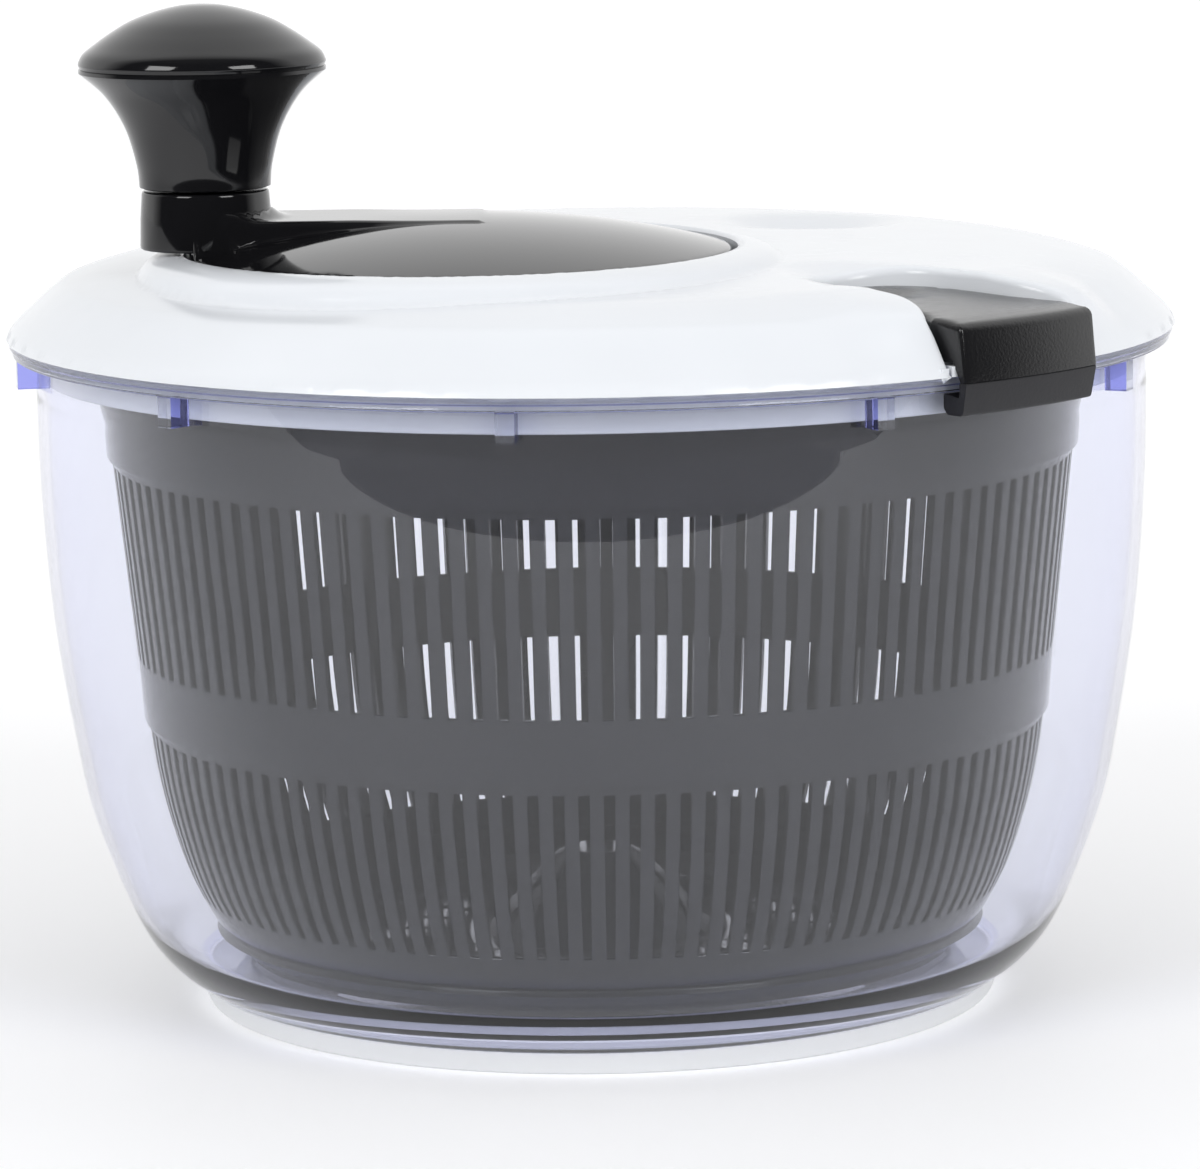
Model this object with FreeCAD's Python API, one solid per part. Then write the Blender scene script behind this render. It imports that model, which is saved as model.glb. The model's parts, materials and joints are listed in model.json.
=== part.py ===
"""Salad spinner: clear bowl, slotted basket, geared lid with a crank and two side latches.

Units are millimetres. +Z is up, the origin is the middle of the foot's resting plane and the front is -Y.
Headings are degrees about Z, from the front (-Y) towards +X. Latches are modelled along +X and then turned.
"""
import FreeCAD, Part
import math
import os

Vector = FreeCAD.Vector

# ---------------------------------------------------------------- driving dimensions
# overall
BOWL_RADIUS = 122.8         # outside of the bowl's wall, under its flange
SEAM_Z = 149.2              # top of the bowl's flange, where the lid rests
FOOT_RADIUS = 90.0
RUN = 0.05                  # radial clearance of a running fit
SCREW_GAP = 0.05            # radial clearance of a screw in its hole

# bowl
BOWL_WALL = 2.3
FLOOR_BOTTOM_Z = 5.0
FLANGE_WIDTH = 5.7
FLANGE_THICK = 3.2
TAB_COUNT = 10              # gussets under the flange
TAB_HEADING = 28.6
TAB_SIZE = (4.0, 4.5, 6.5)  # width, reach and height
FOOT_RING_WIDTH = 11.0
PIN_RADIUS = 3.0            # centre pin that the basket turns on
PIN_SHOULDER_Z = 20.0
PIN_LENGTH = 7.0

# basket
BASKET_WALL = 2.0
BASKET_GAP = 11.5           # from the bowl's wall to the basket's rim
BASKET_DROP = 5.7           # from the seam down to the rim
BASKET_FOOT_Z = 8.7
BASKET_FOOT_RADIUS = 78.5
RIM_BAND = 20.5
MID_BAND = (64.2, 76.8)
LOWER_SLOTS_Z = 25.6
SLOT_COUNT = 117            # openings round each zone
SLOT_START = 1.16           # degrees from +X to the middle of a slot
UPPER_SLOT_WIDTH = 2.5
LOWER_SLOT_WIDTH = 2.1
SLOT_MARGIN = 1.8

# lid
LID_LIP = 0.5               # lid beyond the flange
LID_WALL = 2.4
SKIRT_GAP = 1.0
SKIRT_DROP = 8.6
CROWN_RISE = 17.8           # seam to the top of the lid
DIAL_HEADING = -43.4
WELL_RADIUS = 60.0          # round well that holds the crank's disc
WELL_RISE = 10.8            # seam to the well's floor
WELL_FLOOR_THICK = 2.5
RING_WIDTH = 10.4
DISH = (136.6, 57.0, 22.5, 5.0)     # heading, distance from the lid's edge, radius and depth
LATCH_HEADINGS = {"front": 45.0, "rear": 225.0}

# gears and drive
GEAR_MODULE = 1.25
CRANK_TEETH = 48
PINION_TEETH = 16
PRESSURE_ANGLE = math.radians(25)
TOOTH_THINNING = 0.16       # taken off each tooth for backlash
GEAR_THICK = 6.0
GEAR_ROOM = 1.0             # above and below the gears
COVER_WALL = 2.0
COVER_THICK = 2.5
POST_RADIUS = 3.6
COVER_SCREW = 1.25
CLAMP_SCREW = 1.65          # shanks of the crank's, the disc's and the knob's screws
SHAFT_RADIUS = 6.0          # crank's and pinion's journals
TOP_JOURNAL = 4.0
HEX_FLATS = 8.0
BUSH_WALL = 2.45
DISC_GAP = 2.1              # driving disc to the basket's wall
DISC_THICK = 2.2
LUG_COUNT = 6
LUG_WIDTH = 8.0
LUG_GAP = 0.4

# crank and knob
CRANK_RADIUS = 55.0         # dial centre to knob centre
DISC_EDGE_GAP = 1.3         # crank's disc to the well
DOME_EDGE_RISE = 9.0        # well's floor to the dome's edge
DOME_RISE = 7.6
DOME_WALL = 2.5
ARM_HALF_WIDTH = 14.2
ARM_THICK = 6.6
POST_HEIGHT = 12.6
KNOB_PIN = 4.0
KNOB_GAP = 0.5
KNOB_RADIUS = 26.7
KNOB_GRIP = 26.0
KNOB_CAP = 13.5
KNOB_POCKET = 12.0
SCREW_PLATE = 1.2           # washers of the knob and the disc

# latches
LATCH_HALF_WIDTH = 20.5
PAD_HALF_WIDTH = 16.0
PAD_REACH = 39.0            # lid's edge to the middle of the pad's round end
PAD_RISE = 12.8             # seam to the pad's top
PAD_THICK = 3.0
LATCH_GAP = 1.2             # round the latch in its pocket
FACE_THICK = 2.4
FACE_GAP = 0.6              # flange to the latch's inner face
HINGE_INSET = 4.5           # from the flange's edge inwards
HINGE_RISE = 6.3            # from the seam
HINGE_PIN = 1.5
EAR_THICK = 4.0
HOOK_DEPTH = 7.0
HOOK_REACH = 4.5            # under the flange
RIM_PLATE = 2.2
POCKET_DEPTH = 13.8         # pad's top to the pocket's floor
SPRING_INSET = 26.0

# ---------------------------------------------------------------- worked out
FLANGE_RADIUS = BOWL_RADIUS + FLANGE_WIDTH
FLANGE_BOTTOM_Z = SEAM_Z - FLANGE_THICK
FLOOR_TOP_Z = FLOOR_BOTTOM_Z + BOWL_WALL + 0.3
PIN_TOP_Z = PIN_SHOULDER_Z + PIN_LENGTH
LID_RADIUS = FLANGE_RADIUS + LID_LIP
SKIRT_OUTER = BOWL_RADIUS - BOWL_WALL - SKIRT_GAP
SKIRT_INNER = SKIRT_OUTER - LID_WALL
BASKET_RADIUS = BOWL_RADIUS - BOWL_WALL - BASKET_GAP
BASKET_TOP_Z = SEAM_Z - BASKET_DROP
DIAL_OFFSET = GEAR_MODULE * (CRANK_TEETH + PINION_TEETH) / 2
DIAL_X = DIAL_OFFSET * math.sin(math.radians(DIAL_HEADING))
DIAL_Y = -DIAL_OFFSET * math.cos(math.radians(DIAL_HEADING))
TOWARDS_AXIS = math.atan2(-DIAL_Y, -DIAL_X)
WELL_FLOOR_Z = SEAM_Z + WELL_RISE
WELL_UNDER_Z = WELL_FLOOR_Z - WELL_FLOOR_THICK
GEAR_TOP_Z = WELL_UNDER_Z - GEAR_ROOM
GEAR_BOTTOM_Z = GEAR_TOP_Z - GEAR_THICK
COVER_TOP_Z = GEAR_BOTTOM_Z - GEAR_ROOM
COVER_BOTTOM_Z = COVER_TOP_Z - COVER_THICK
BUSH_RADIUS = SHAFT_RADIUS + BUSH_WALL
BUSH_TOP_Z = WELL_FLOOR_Z + 7.0
GEAR_TIP = GEAR_MODULE * (CRANK_TEETH / 2 + 1)
PINION_TIP = GEAR_MODULE * (PINION_TEETH / 2 + 1)
DISC_TOP_Z = BASKET_TOP_Z - 0.3
DISC_BOTTOM_Z = DISC_TOP_Z - DISC_THICK
DISC_RADIUS = BASKET_RADIUS - BASKET_WALL - 0.4 - DISC_GAP
HUB_BOTTOM_Z = DISC_TOP_Z - 5.7
DOME_EDGE_Z = WELL_FLOOR_Z + DOME_EDGE_RISE
APEX_Z = DOME_EDGE_Z + DOME_RISE
ARM_TOP_Z = APEX_Z + 0.4
ARM_BOTTOM_Z = ARM_TOP_Z - ARM_THICK
KNOB_X = DIAL_X - CRANK_RADIUS
KNOB_Y = DIAL_Y
POST_TOP_Z = ARM_BOTTOM_Z + POST_HEIGHT
KNOB_BOTTOM_Z = POST_TOP_Z + KNOB_GAP
KNOB_SEAM_Z = KNOB_BOTTOM_Z + KNOB_GRIP
KNOB_TOP_Z = KNOB_SEAM_Z + KNOB_CAP
KNOB_SEAT_Z = KNOB_SEAM_Z - 6.5
KNOB_PIN_TOP_Z = KNOB_SEAT_Z + 0.1
HINGE_X = FLANGE_RADIUS - HINGE_INSET
HINGE_Z = SEAM_Z + HINGE_RISE
FACE_INNER = FLANGE_RADIUS + FACE_GAP
FACE_OUTER = FACE_INNER + FACE_THICK
HOOK_TOP_Z = SEAM_Z - 1.2
HOOK_BOTTOM_Z = HOOK_TOP_Z - HOOK_DEPTH
PAD_TOP_Z = SEAM_Z + PAD_RISE
PAD_UNDER_Z = PAD_TOP_Z - PAD_THICK
PAD_X = LID_RADIUS - PAD_REACH
POCKET_FLOOR_Z = PAD_TOP_Z - POCKET_DEPTH
RIM_PLATE_Z = SEAM_Z + RIM_PLATE
SPRING_X = LID_RADIUS - SPRING_INSET
EAR_OUTER = LATCH_HALF_WIDTH - 4.1
EAR_INNER = EAR_OUTER - EAR_THICK


# ---------------------------------------------------------------- helpers
def profile_wire(items):
    """Closed wire in the XZ plane from (radius, z) points; a list inside the list is a smooth run of points."""
    edges = []
    first = last = None
    for item in items:
        run = item if isinstance(item, list) else [item]
        points = [Vector(r, 0, z) for r, z in run]
        if last is not None and last.distanceToPoint(points[0]) > 1e-6:
            edges.append(Part.LineSegment(last, points[0]).toShape())
        if len(points) > 1:
            curve = Part.BSplineCurve()
            curve.interpolate(points)
            edges.append(curve.toShape())
        first = first or points[0]
        last = points[-1]
    if last.distanceToPoint(first) > 1e-6:
        edges.append(Part.LineSegment(last, first).toShape())
    return Part.Wire(edges)


def turned(items, x=0.0, y=0.0):
    """Solid of revolution about the upright axis through (x, y)."""
    face = Part.Face(profile_wire(items))
    solid = face.revolve(Vector(0, 0, 0), Vector(0, 0, 1), 360)
    solid = solid if solid.Volume > 0 else solid.reversed()
    solid.translate(Vector(x, y, 0))
    return solid


def rod(radius, low, high, x=0.0, y=0.0):
    return Part.makeCylinder(radius, high - low, Vector(x, y, low))


def cross_rod(radius, y0, y1, x, z):
    return Part.makeCylinder(radius, y1 - y0, Vector(x, y0, z), Vector(0, 1, 0))


def tube(outer, inner, low, high, x=0.0, y=0.0):
    return rod(outer, low, high, x, y).cut(rod(inner, low - 1, high + 1, x, y))


def block(x0, x1, y0, y1, z0, z1):
    return Part.makeBox(x1 - x0, y1 - y0, z1 - z0, Vector(x0, y0, z0))


def bar(x0, x1, half_width, z0, z1):
    return block(x0, x1, -half_width, half_width, z0, z1)


def prism(points, low, high):
    """Upright prism over a polygon in the XY plane."""
    corners = [Vector(x, y, low) for x, y in points]
    return Part.Face(Part.makePolygon(corners + corners[:1])).extrude(Vector(0, 0, high - low))


def side_prism(points, half_width):
    """Prism over an XZ polygon, centred on Y = 0."""
    corners = [Vector(x, -half_width, z) for x, z in points]
    return Part.Face(Part.makePolygon(corners + corners[:1])).extrude(Vector(0, 2 * half_width, 0))


def polygon_rod(sides, across_flats, low, high, x=0.0, y=0.0):
    radius = across_flats / 2 / math.cos(math.pi / sides)
    corners = [2 * math.pi * (k + 0.5) / sides for k in range(sides)]
    return prism([(x + radius * math.cos(a), y + radius * math.sin(a)) for a in corners], low, high)


def at_heading(shape, heading):
    """Turn a shape modelled along +X to a heading."""
    shape = shape.copy()
    shape.rotate(Vector(0, 0, 0), Vector(0, 0, 1), heading - 90)
    return shape


def around(shape, count, start=0.0):
    """Copies of a shape evenly round Z."""
    copies = []
    for k in range(count):
        copy = shape.copy()
        copy.rotate(Vector(0, 0, 0), Vector(0, 0, 1), start + 360.0 * k / count)
        copies.append(copy)
    return copies


def joined(first, *others):
    return first.fuse(list(others)).removeSplitter()


def pan_screw(shank, tip_z, head, seat_z, head_height, x=0.0, y=0.0):
    """Screw with a cross recess; its head is on the far side of seat_z from its tip."""
    away = 1 if seat_z > tip_z else -1
    crown_z = seat_z + away * head_height
    body = joined(rod(head, min(seat_z, crown_z), max(seat_z, crown_z), x, y),
                  rod(shank, min(seat_z, tip_z), max(seat_z, tip_z), x, y))
    deep_z = crown_z - away * 0.55 * head_height
    low, high = sorted((deep_z, crown_z + away * 0.1))
    long_half, short_half = 0.6 * head, 0.4
    return body.cut([block(x - long_half, x + long_half, y - short_half, y + short_half, low, high),
                     block(x - short_half, x + short_half, y - long_half, y + long_half, low, high)])


def involute_gear(teeth, x, y, tooth_at):
    """Spur gear whose first tooth is centred on the direction tooth_at (radians)."""
    pitch = GEAR_MODULE * teeth / 2
    base = pitch * math.cos(PRESSURE_ANGLE)
    tip = pitch + GEAR_MODULE
    root = pitch - 1.25 * GEAR_MODULE
    half_at_pitch = (math.pi * GEAR_MODULE / 2 - TOOTH_THINNING) / 2 / pitch

    def roll(radius):
        angle = math.acos(min(1.0, base / radius))
        return math.tan(angle) - angle

    start = max(base, root)
    radii = [start + (tip - start) * k / 5 for k in range(6)]
    flank = [(r, half_at_pitch + roll(pitch) - roll(r)) for r in radii]
    flank = [(root, flank[0][1])] + flank if root < base else flank
    outline = []
    for k in range(teeth):
        middle = tooth_at + 2 * math.pi * k / teeth
        outline += [(r, middle - half) for r, half in flank]
        outline += [(r, middle + half) for r, half in reversed(flank)]
    return prism([(x + r * math.cos(a), y + r * math.sin(a)) for r, a in outline], GEAR_BOTTOM_Z, GEAR_TOP_Z)


# ---------------------------------------------------------------- bowl, foot and centre pin
def bowl_wall_points(inset):
    """The bowl's wall from its foot to its flange: shares of its height and of its flare."""
    low, high = FLOOR_BOTTOM_Z, FLANGE_BOTTOM_Z - 9.0
    shares = [(0.0, 0.0), (0.042, 0.229), (0.114, 0.427), (0.28, 0.686),
              (0.402, 0.793), (0.614, 0.924), (0.833, 0.988), (1.0, 1.0)]
    flare = BOWL_RADIUS - FOOT_RADIUS
    return [(FOOT_RADIUS + width * flare - inset, low + up * (high - low)) for up, width in shares]


def make_bowl():
    outer = bowl_wall_points(0.0)
    inner = bowl_wall_points(BOWL_WALL)[:1:-1] + [(FOOT_RADIUS + 5.0, FLOOR_TOP_Z + 5.0), (FOOT_RADIUS - 3.0, FLOOR_TOP_Z)]
    step_z = SEAM_Z - FLANGE_THICK / 2
    flange = [(BOWL_RADIUS, FLANGE_BOTTOM_Z), (FLANGE_RADIUS - 0.6, FLANGE_BOTTOM_Z),
              (FLANGE_RADIUS - 0.6, step_z), (FLANGE_RADIUS, step_z),
              (FLANGE_RADIUS, SEAM_Z), (BOWL_RADIUS - BOWL_WALL, SEAM_Z)]
    shoulder = PIN_RADIUS + 2.5
    spike = [(shoulder + 4.5, FLOOR_TOP_Z), (shoulder, PIN_SHOULDER_Z), (PIN_RADIUS, PIN_SHOULDER_Z),
             (PIN_RADIUS, PIN_TOP_Z - 0.6), (PIN_RADIUS - 0.6, PIN_TOP_Z), (0.0, PIN_TOP_Z), (0.0, FLOOR_BOTTOM_Z)]
    bowl = turned([outer] + flange + [inner] + spike)
    width, reach, height = TAB_SIZE
    tab = bar(BOWL_RADIUS - BOWL_WALL / 2, BOWL_RADIUS + reach, width / 2, FLANGE_BOTTOM_Z - height, FLANGE_BOTTOM_Z + 0.4)
    return joined(bowl, *[at_heading(tab, TAB_HEADING + 360.0 * k / TAB_COUNT) for k in range(TAB_COUNT)])


def make_foot_ring():
    inner = FOOT_RADIUS - FOOT_RING_WIDTH
    return turned([(inner, FLOOR_BOTTOM_Z), (inner, 0.8), (inner + 1.0, 0.0), (FOOT_RADIUS - 2.0, 0.0),
                   (FOOT_RADIUS - 1.0, 1.0), (FOOT_RADIUS, FLOOR_BOTTOM_Z)])


BUSH_SLEEVE = PIN_RADIUS + 2.0
BUSH_SEAT_Z = PIN_SHOULDER_Z + 1.7
BUSH_CAP_Z = PIN_TOP_Z + 1.6


def make_pivot_bush():
    """Loose cap that turns on the bowl's pin and carries the basket."""
    bore = PIN_RADIUS + RUN
    low = PIN_SHOULDER_Z + RUN
    return turned([(bore, low), (BUSH_SLEEVE + 2.5, low), (BUSH_SLEEVE + 2.5, BUSH_SEAT_Z), (BUSH_SLEEVE, BUSH_SEAT_Z),
                   (BUSH_SLEEVE, BUSH_CAP_Z - 0.6), (BUSH_SLEEVE - 0.6, BUSH_CAP_Z), (0.0, BUSH_CAP_Z),
                   (0.0, PIN_TOP_Z + 0.1), (bore, PIN_TOP_Z + 0.1)])


# ---------------------------------------------------------------- basket
def make_basket():
    band_low, band_high = MID_BAND
    band_radius = BASKET_RADIUS - 7.1
    rim_low = BASKET_TOP_Z - RIM_BAND
    knee = band_radius - 1.9
    shares = [(0.0, 0.0), (0.194, 0.065), (0.422, 0.186), (0.622, 0.344), (0.77, 0.521), (0.905, 0.726), (1.0, 1.0)]
    deep, wide = band_low - BASKET_FOOT_Z - 2.9, knee - BASKET_FOOT_RADIUS
    lower = [(knee - wide * back, band_low - deep * down) for down, back in shares]
    lower_inside = [(r - BASKET_WALL * 0.97, z + 0.5) for r, z in lower[1:-1]]
    lower_inside = [(knee - 1.8, band_low)] + lower_inside + [(BASKET_FOOT_RADIUS - 2.0, BASKET_FOOT_Z + 4.9)]
    outer = [(BASKET_RADIUS, BASKET_TOP_Z), (BASKET_RADIUS - 1.3, rim_low), (BASKET_RADIUS - 2.4, rim_low),
             (band_radius, band_high), (band_radius - 0.9, band_low)]
    foot = [(BASKET_FOOT_RADIUS, BASKET_FOOT_Z), (BASKET_FOOT_RADIUS - 2.0, BASKET_FOOT_Z),
            (BASKET_FOOT_RADIUS - 2.0, BASKET_FOOT_Z + 2.7)]
    socket = BUSH_SLEEVE + RUN
    top = BUSH_CAP_Z + 2.6
    hub = [(socket + 21.5, BASKET_FOOT_Z + 2.7), (socket + 5.0, BUSH_SEAT_Z), (socket, BUSH_SEAT_Z),
           (socket, BUSH_CAP_Z + 0.1), (0.0, BUSH_CAP_Z + 0.1), (0.0, top), (socket + 2.5, top),
           (socket + 4.5, top - 1.2), (socket + 21.5, BASKET_FOOT_Z + 4.9)]
    inner = [(band_radius - BASKET_WALL, band_high), (BASKET_RADIUS - 2.4 - BASKET_WALL, rim_low),
             (BASKET_RADIUS - BASKET_WALL - 0.2, BASKET_TOP_Z)]
    basket = turned(outer + [lower] + foot + hub + [lower_inside[::-1]] + inner)

    upper_slot = bar(band_radius - 6.0, BASKET_RADIUS + 3.0, UPPER_SLOT_WIDTH / 2,
                     band_high + SLOT_MARGIN, rim_low - SLOT_MARGIN)
    lower_slot = bar(BASKET_FOOT_RADIUS + 1.5, knee + 4.0, LOWER_SLOT_WIDTH / 2,
                     LOWER_SLOTS_Z, band_low - SLOT_MARGIN)
    inner_ray = bar(socket + 28.0, socket + 47.0, 1.5, BASKET_FOOT_Z, BASKET_FOOT_Z + 7.0)
    outer_ray = bar(socket + 51.0, BASKET_FOOT_RADIUS - 5.5, 1.5, BASKET_FOOT_Z, BASKET_FOOT_Z + 7.0)
    notch = bar(DISC_RADIUS - 4.0, BASKET_RADIUS + 3.0, LUG_WIDTH / 2 + LUG_GAP, DISC_BOTTOM_Z - 0.5, BASKET_TOP_Z + 1)
    openings = around(upper_slot, SLOT_COUNT, SLOT_START) + around(lower_slot, SLOT_COUNT, SLOT_START)
    openings += around(inner_ray, 24) + around(outer_ray, 40) + around(notch, LUG_COUNT, 15.0)
    return basket.cut(openings)


# ---------------------------------------------------------------- lid
def lid_profile(points, crown=()):
    """Points given as (distance in from the lid's edge, height above the seam), then shares of the crown."""
    profile = [(LID_RADIUS - back, SEAM_Z + up) for back, up in points]
    return profile + [(LID_RADIUS * share, SEAM_Z + CROWN_RISE - down) for share, down in crown]


DOME = lid_profile([(0.0, 0.0), (1.1, 1.7), (4.5, 4.7), (11.0, 10.8), (15.0, 13.0)],
                   [(0.814, 2.4), (0.736, 1.5), (0.465, 0.5), (0.0, 0.0)])
SHOULDER = lid_profile([(0.0, 0.0), (1.2, 2.8), (3.6, 7.1), (5.8, 11.0), (8.7, 13.5), (15.0, 15.1)],
                       [(0.814, 1.7), (0.736, 1.3)])
DOME_INNER = lid_profile([(2.6, 0.0), (6.0, 3.0), (12.4, 8.8), (16.1, 10.8)],
                         [(0.81, 4.8), (0.736, 3.9), (0.465, 2.9), (0.0, 2.4)])


def latch_plan(grow):
    """Outline of a latch's thumb pad and block, grown evenly."""
    pad_half, block_half = PAD_HALF_WIDTH + grow, LATCH_HALF_WIDTH + grow
    arc = [math.radians(90 + 15 * k) for k in range(13)]
    tip = [(PAD_X + pad_half * math.cos(a), pad_half * math.sin(a)) for a in arc]
    flare = block_half - pad_half
    neck = [(HINGE_X - 18.0, -pad_half), (HINGE_X - 12.0, -pad_half - 0.18 * flare),
            (HINGE_X - 7.0, -pad_half - 0.58 * flare), (HINGE_X - 4.5, -block_half)]
    end = FACE_OUTER + 10.0
    return tip + neck + [(end, -block_half), (end, block_half)] + [(x, -y) for x, y in reversed(neck)]


def add_latch_pocket(lid, dome_volume, heading):
    """Raise the lid beside a latch, sink its pocket and add the hinge's ears and the spring's seat."""
    reach = LATCH_HALF_WIDTH + 23.5
    crown_z = SEAM_Z + CROWN_RISE
    shoulder = turned([SHOULDER, (LID_RADIUS * 0.736, SEAM_Z + 14.0), (LID_RADIUS - 13.0, SEAM_Z + 14.0),
                       (LID_RADIUS - 3.0, SEAM_Z)])
    wedge = Part.Face(Part.makePolygon([Vector(LID_RADIUS * 0.6, y, z) for y, z in (
        (-reach, SEAM_Z), (14 - reach, crown_z), (reach - 14, crown_z), (reach, SEAM_Z), (-reach, SEAM_Z))]))
    flanks = shoulder.common(at_heading(wedge.extrude(Vector(LID_RADIUS * 0.5, 0, 0)), heading))
    walls = prism(latch_plan(LATCH_GAP + LID_WALL), POCKET_FLOOR_Z - 2.0, crown_z + 10)
    walls = walls.cut(tube(LID_RADIUS + 40, SKIRT_OUTER, POCKET_FLOOR_Z - 5, SEAM_Z))
    lid = lid.fuse([flanks, at_heading(walls, heading).common(joined(dome_volume, flanks))])
    plan = latch_plan(LATCH_GAP)
    room = [prism(plan, RIM_PLATE_Z, crown_z + 20),
            prism(plan, POCKET_FLOOR_Z, crown_z + 20).common(rod(SKIRT_INNER, 0, crown_z + 30))]
    lid = lid.cut([at_heading(piece, heading) for piece in room])
    ear_radius = HINGE_PIN + 1.2
    ear = joined(block(HINGE_X - ear_radius, HINGE_X + ear_radius, EAR_INNER, EAR_OUTER, RIM_PLATE_Z - 0.5, HINGE_Z),
                 cross_rod(ear_radius, EAR_INNER, EAR_OUTER, HINGE_X, HINGE_Z))
    ear = ear.cut(cross_rod(HINGE_PIN, EAR_INNER - 1, EAR_OUTER + 1, HINGE_X, HINGE_Z))
    seat = rod(2.6, POCKET_FLOOR_Z - 0.5, POCKET_FLOOR_Z + 2.0, SPRING_X, 0)
    extras = (ear, ear.mirror(Vector(0, 0, 0), Vector(0, 1, 0)), seat)
    return lid.fuse([at_heading(piece, heading) for piece in extras])


def make_lid_shell():
    dome_volume = turned([DOME, (0.0, POCKET_FLOOR_Z - 2.0), (LID_RADIUS, POCKET_FLOOR_Z - 2.0)])
    shell = turned([DOME, DOME_INNER[::-1]])
    skirt = tube(SKIRT_OUTER, SKIRT_INNER, SEAM_Z - SKIRT_DROP, SEAM_Z + 9.3)
    rim_z = DOME_EDGE_Z + 0.8
    outer = WELL_RADIUS + RING_WIDTH
    bulge = [(WELL_RADIUS + 1.0, rim_z), (WELL_RADIUS + 4.2, rim_z - 0.4), (outer - 3.0, rim_z - 1.6),
             (outer - 0.8, rim_z - 4.2), (outer, rim_z - 8.3)]
    ring = turned([(WELL_RADIUS, rim_z - 5.8), (WELL_RADIUS, rim_z), bulge, (outer, rim_z - 9.2),
                   (WELL_RADIUS + LID_WALL, rim_z - 9.2)], DIAL_X, DIAL_Y)
    well = tube(WELL_RADIUS + LID_WALL, WELL_RADIUS, WELL_UNDER_Z, rim_z - 3.8, DIAL_X, DIAL_Y)
    floor = rod(WELL_RADIUS + LID_WALL, WELL_UNDER_Z, WELL_FLOOR_Z, DIAL_X, DIAL_Y)
    tower = rod(BUSH_RADIUS + 3.5, WELL_FLOOR_Z - 1, BUSH_TOP_Z - 1, DIAL_X, DIAL_Y)
    shell = shell.cut(rod(WELL_RADIUS, WELL_UNDER_Z - 9, APEX_Z + 5, DIAL_X, DIAL_Y))
    lid = joined(shell, skirt, ring, well, floor, tower)

    dish_heading, inset, dish_radius, dish_depth = DISH
    ball = (dish_radius ** 2 + dish_depth ** 2) / (2 * dish_depth)
    turn, away = math.radians(dish_heading), LID_RADIUS - inset
    rim = SEAM_Z + CROWN_RISE - 0.7
    middle = Vector(away * math.sin(turn), -away * math.cos(turn), rim - dish_depth + ball)
    lid = lid.fuse(Part.makeSphere(ball + LID_WALL, middle).common(dome_volume)).cut(Part.makeSphere(ball, middle))

    for heading in LATCH_HEADINGS.values():
        lid = add_latch_pocket(lid, dome_volume, heading)
    places = cover_screw_places()
    lid = lid.fuse([rod(POST_RADIUS, COVER_TOP_Z, WELL_FLOOR_Z - 1, x, y) for x, y in places]).removeSplitter()
    holes = [rod(COVER_SCREW + SCREW_GAP, COVER_TOP_Z - 1, WELL_UNDER_Z + 0.5, x, y) for x, y in places]
    holes.append(rod(BUSH_RADIUS, WELL_UNDER_Z - 5, BUSH_TOP_Z + 5, DIAL_X, DIAL_Y))
    holes.append(rod(TOP_JOURNAL + RUN, WELL_UNDER_Z - 5, WELL_FLOOR_Z - 1.0))
    return lid.cut(holes)


def cover_screw_places():
    """Four screws round the crank's gear and one beyond the pinion."""
    away = GEAR_TIP + POST_RADIUS + 1.75
    places = []
    for turn in (62, 130, -130, -62):
        angle = TOWARDS_AXIS + math.radians(turn)
        places.append((DIAL_X + away * math.cos(angle), DIAL_Y + away * math.sin(angle)))
    beyond = PINION_TIP + POST_RADIUS + 2.65
    places.append((beyond * math.cos(TOWARDS_AXIS), beyond * math.sin(TOWARDS_AXIS)))
    return places


def cover_body(inset, low, high):
    """Solid over both gears: two discs and the bar between them."""
    wide = GEAR_TIP + 2 * POST_RADIUS + 2.55 + COVER_WALL - inset
    narrow = PINION_TIP + 2 * POST_RADIUS + 3.55 + COVER_WALL - inset
    side_x, side_y = -math.sin(TOWARDS_AXIS), math.cos(TOWARDS_AXIS)
    corners = [(DIAL_X + side_x * wide, DIAL_Y + side_y * wide), (side_x * narrow, side_y * narrow),
               (-side_x * narrow, -side_y * narrow), (DIAL_X - side_x * wide, DIAL_Y - side_y * wide)]
    return joined(rod(wide, low, high, DIAL_X, DIAL_Y), rod(narrow, low, high), prism(corners, low, high))


def make_gear_cover():
    cover = cover_body(0.0, COVER_BOTTOM_Z, WELL_UNDER_Z)
    cover = cover.cut(cover_body(COVER_WALL, COVER_TOP_Z, WELL_UNDER_Z + 1))
    cover = cover.fuse(rod(BUSH_RADIUS + 2.5, DISC_TOP_Z + 1.4, COVER_TOP_Z))
    holes = [rod(BUSH_RADIUS, DISC_TOP_Z, COVER_TOP_Z + 1)]
    holes += [rod(COVER_SCREW + 0.45, COVER_BOTTOM_Z - 5, COVER_TOP_Z + 1, x, y) for x, y in cover_screw_places()]
    return cover.cut(holes).removeSplitter()


def make_cover_screws():
    return Part.makeCompound([pan_screw(COVER_SCREW, GEAR_TOP_Z - 1.0, 3.0, COVER_BOTTOM_Z, 1.8, x, y)
                              for x, y in cover_screw_places()])


# ---------------------------------------------------------------- crank, its gear and bearing
def make_crank_bush():
    bore = SHAFT_RADIUS + RUN
    return turned([(bore, WELL_UNDER_Z), (BUSH_RADIUS, WELL_UNDER_Z), (BUSH_RADIUS, BUSH_TOP_Z - 1),
                   (BUSH_RADIUS + 2.3, BUSH_TOP_Z - 1), (BUSH_RADIUS + 2.3, BUSH_TOP_Z), (bore, BUSH_TOP_Z)],
                  DIAL_X, DIAL_Y)


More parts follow.
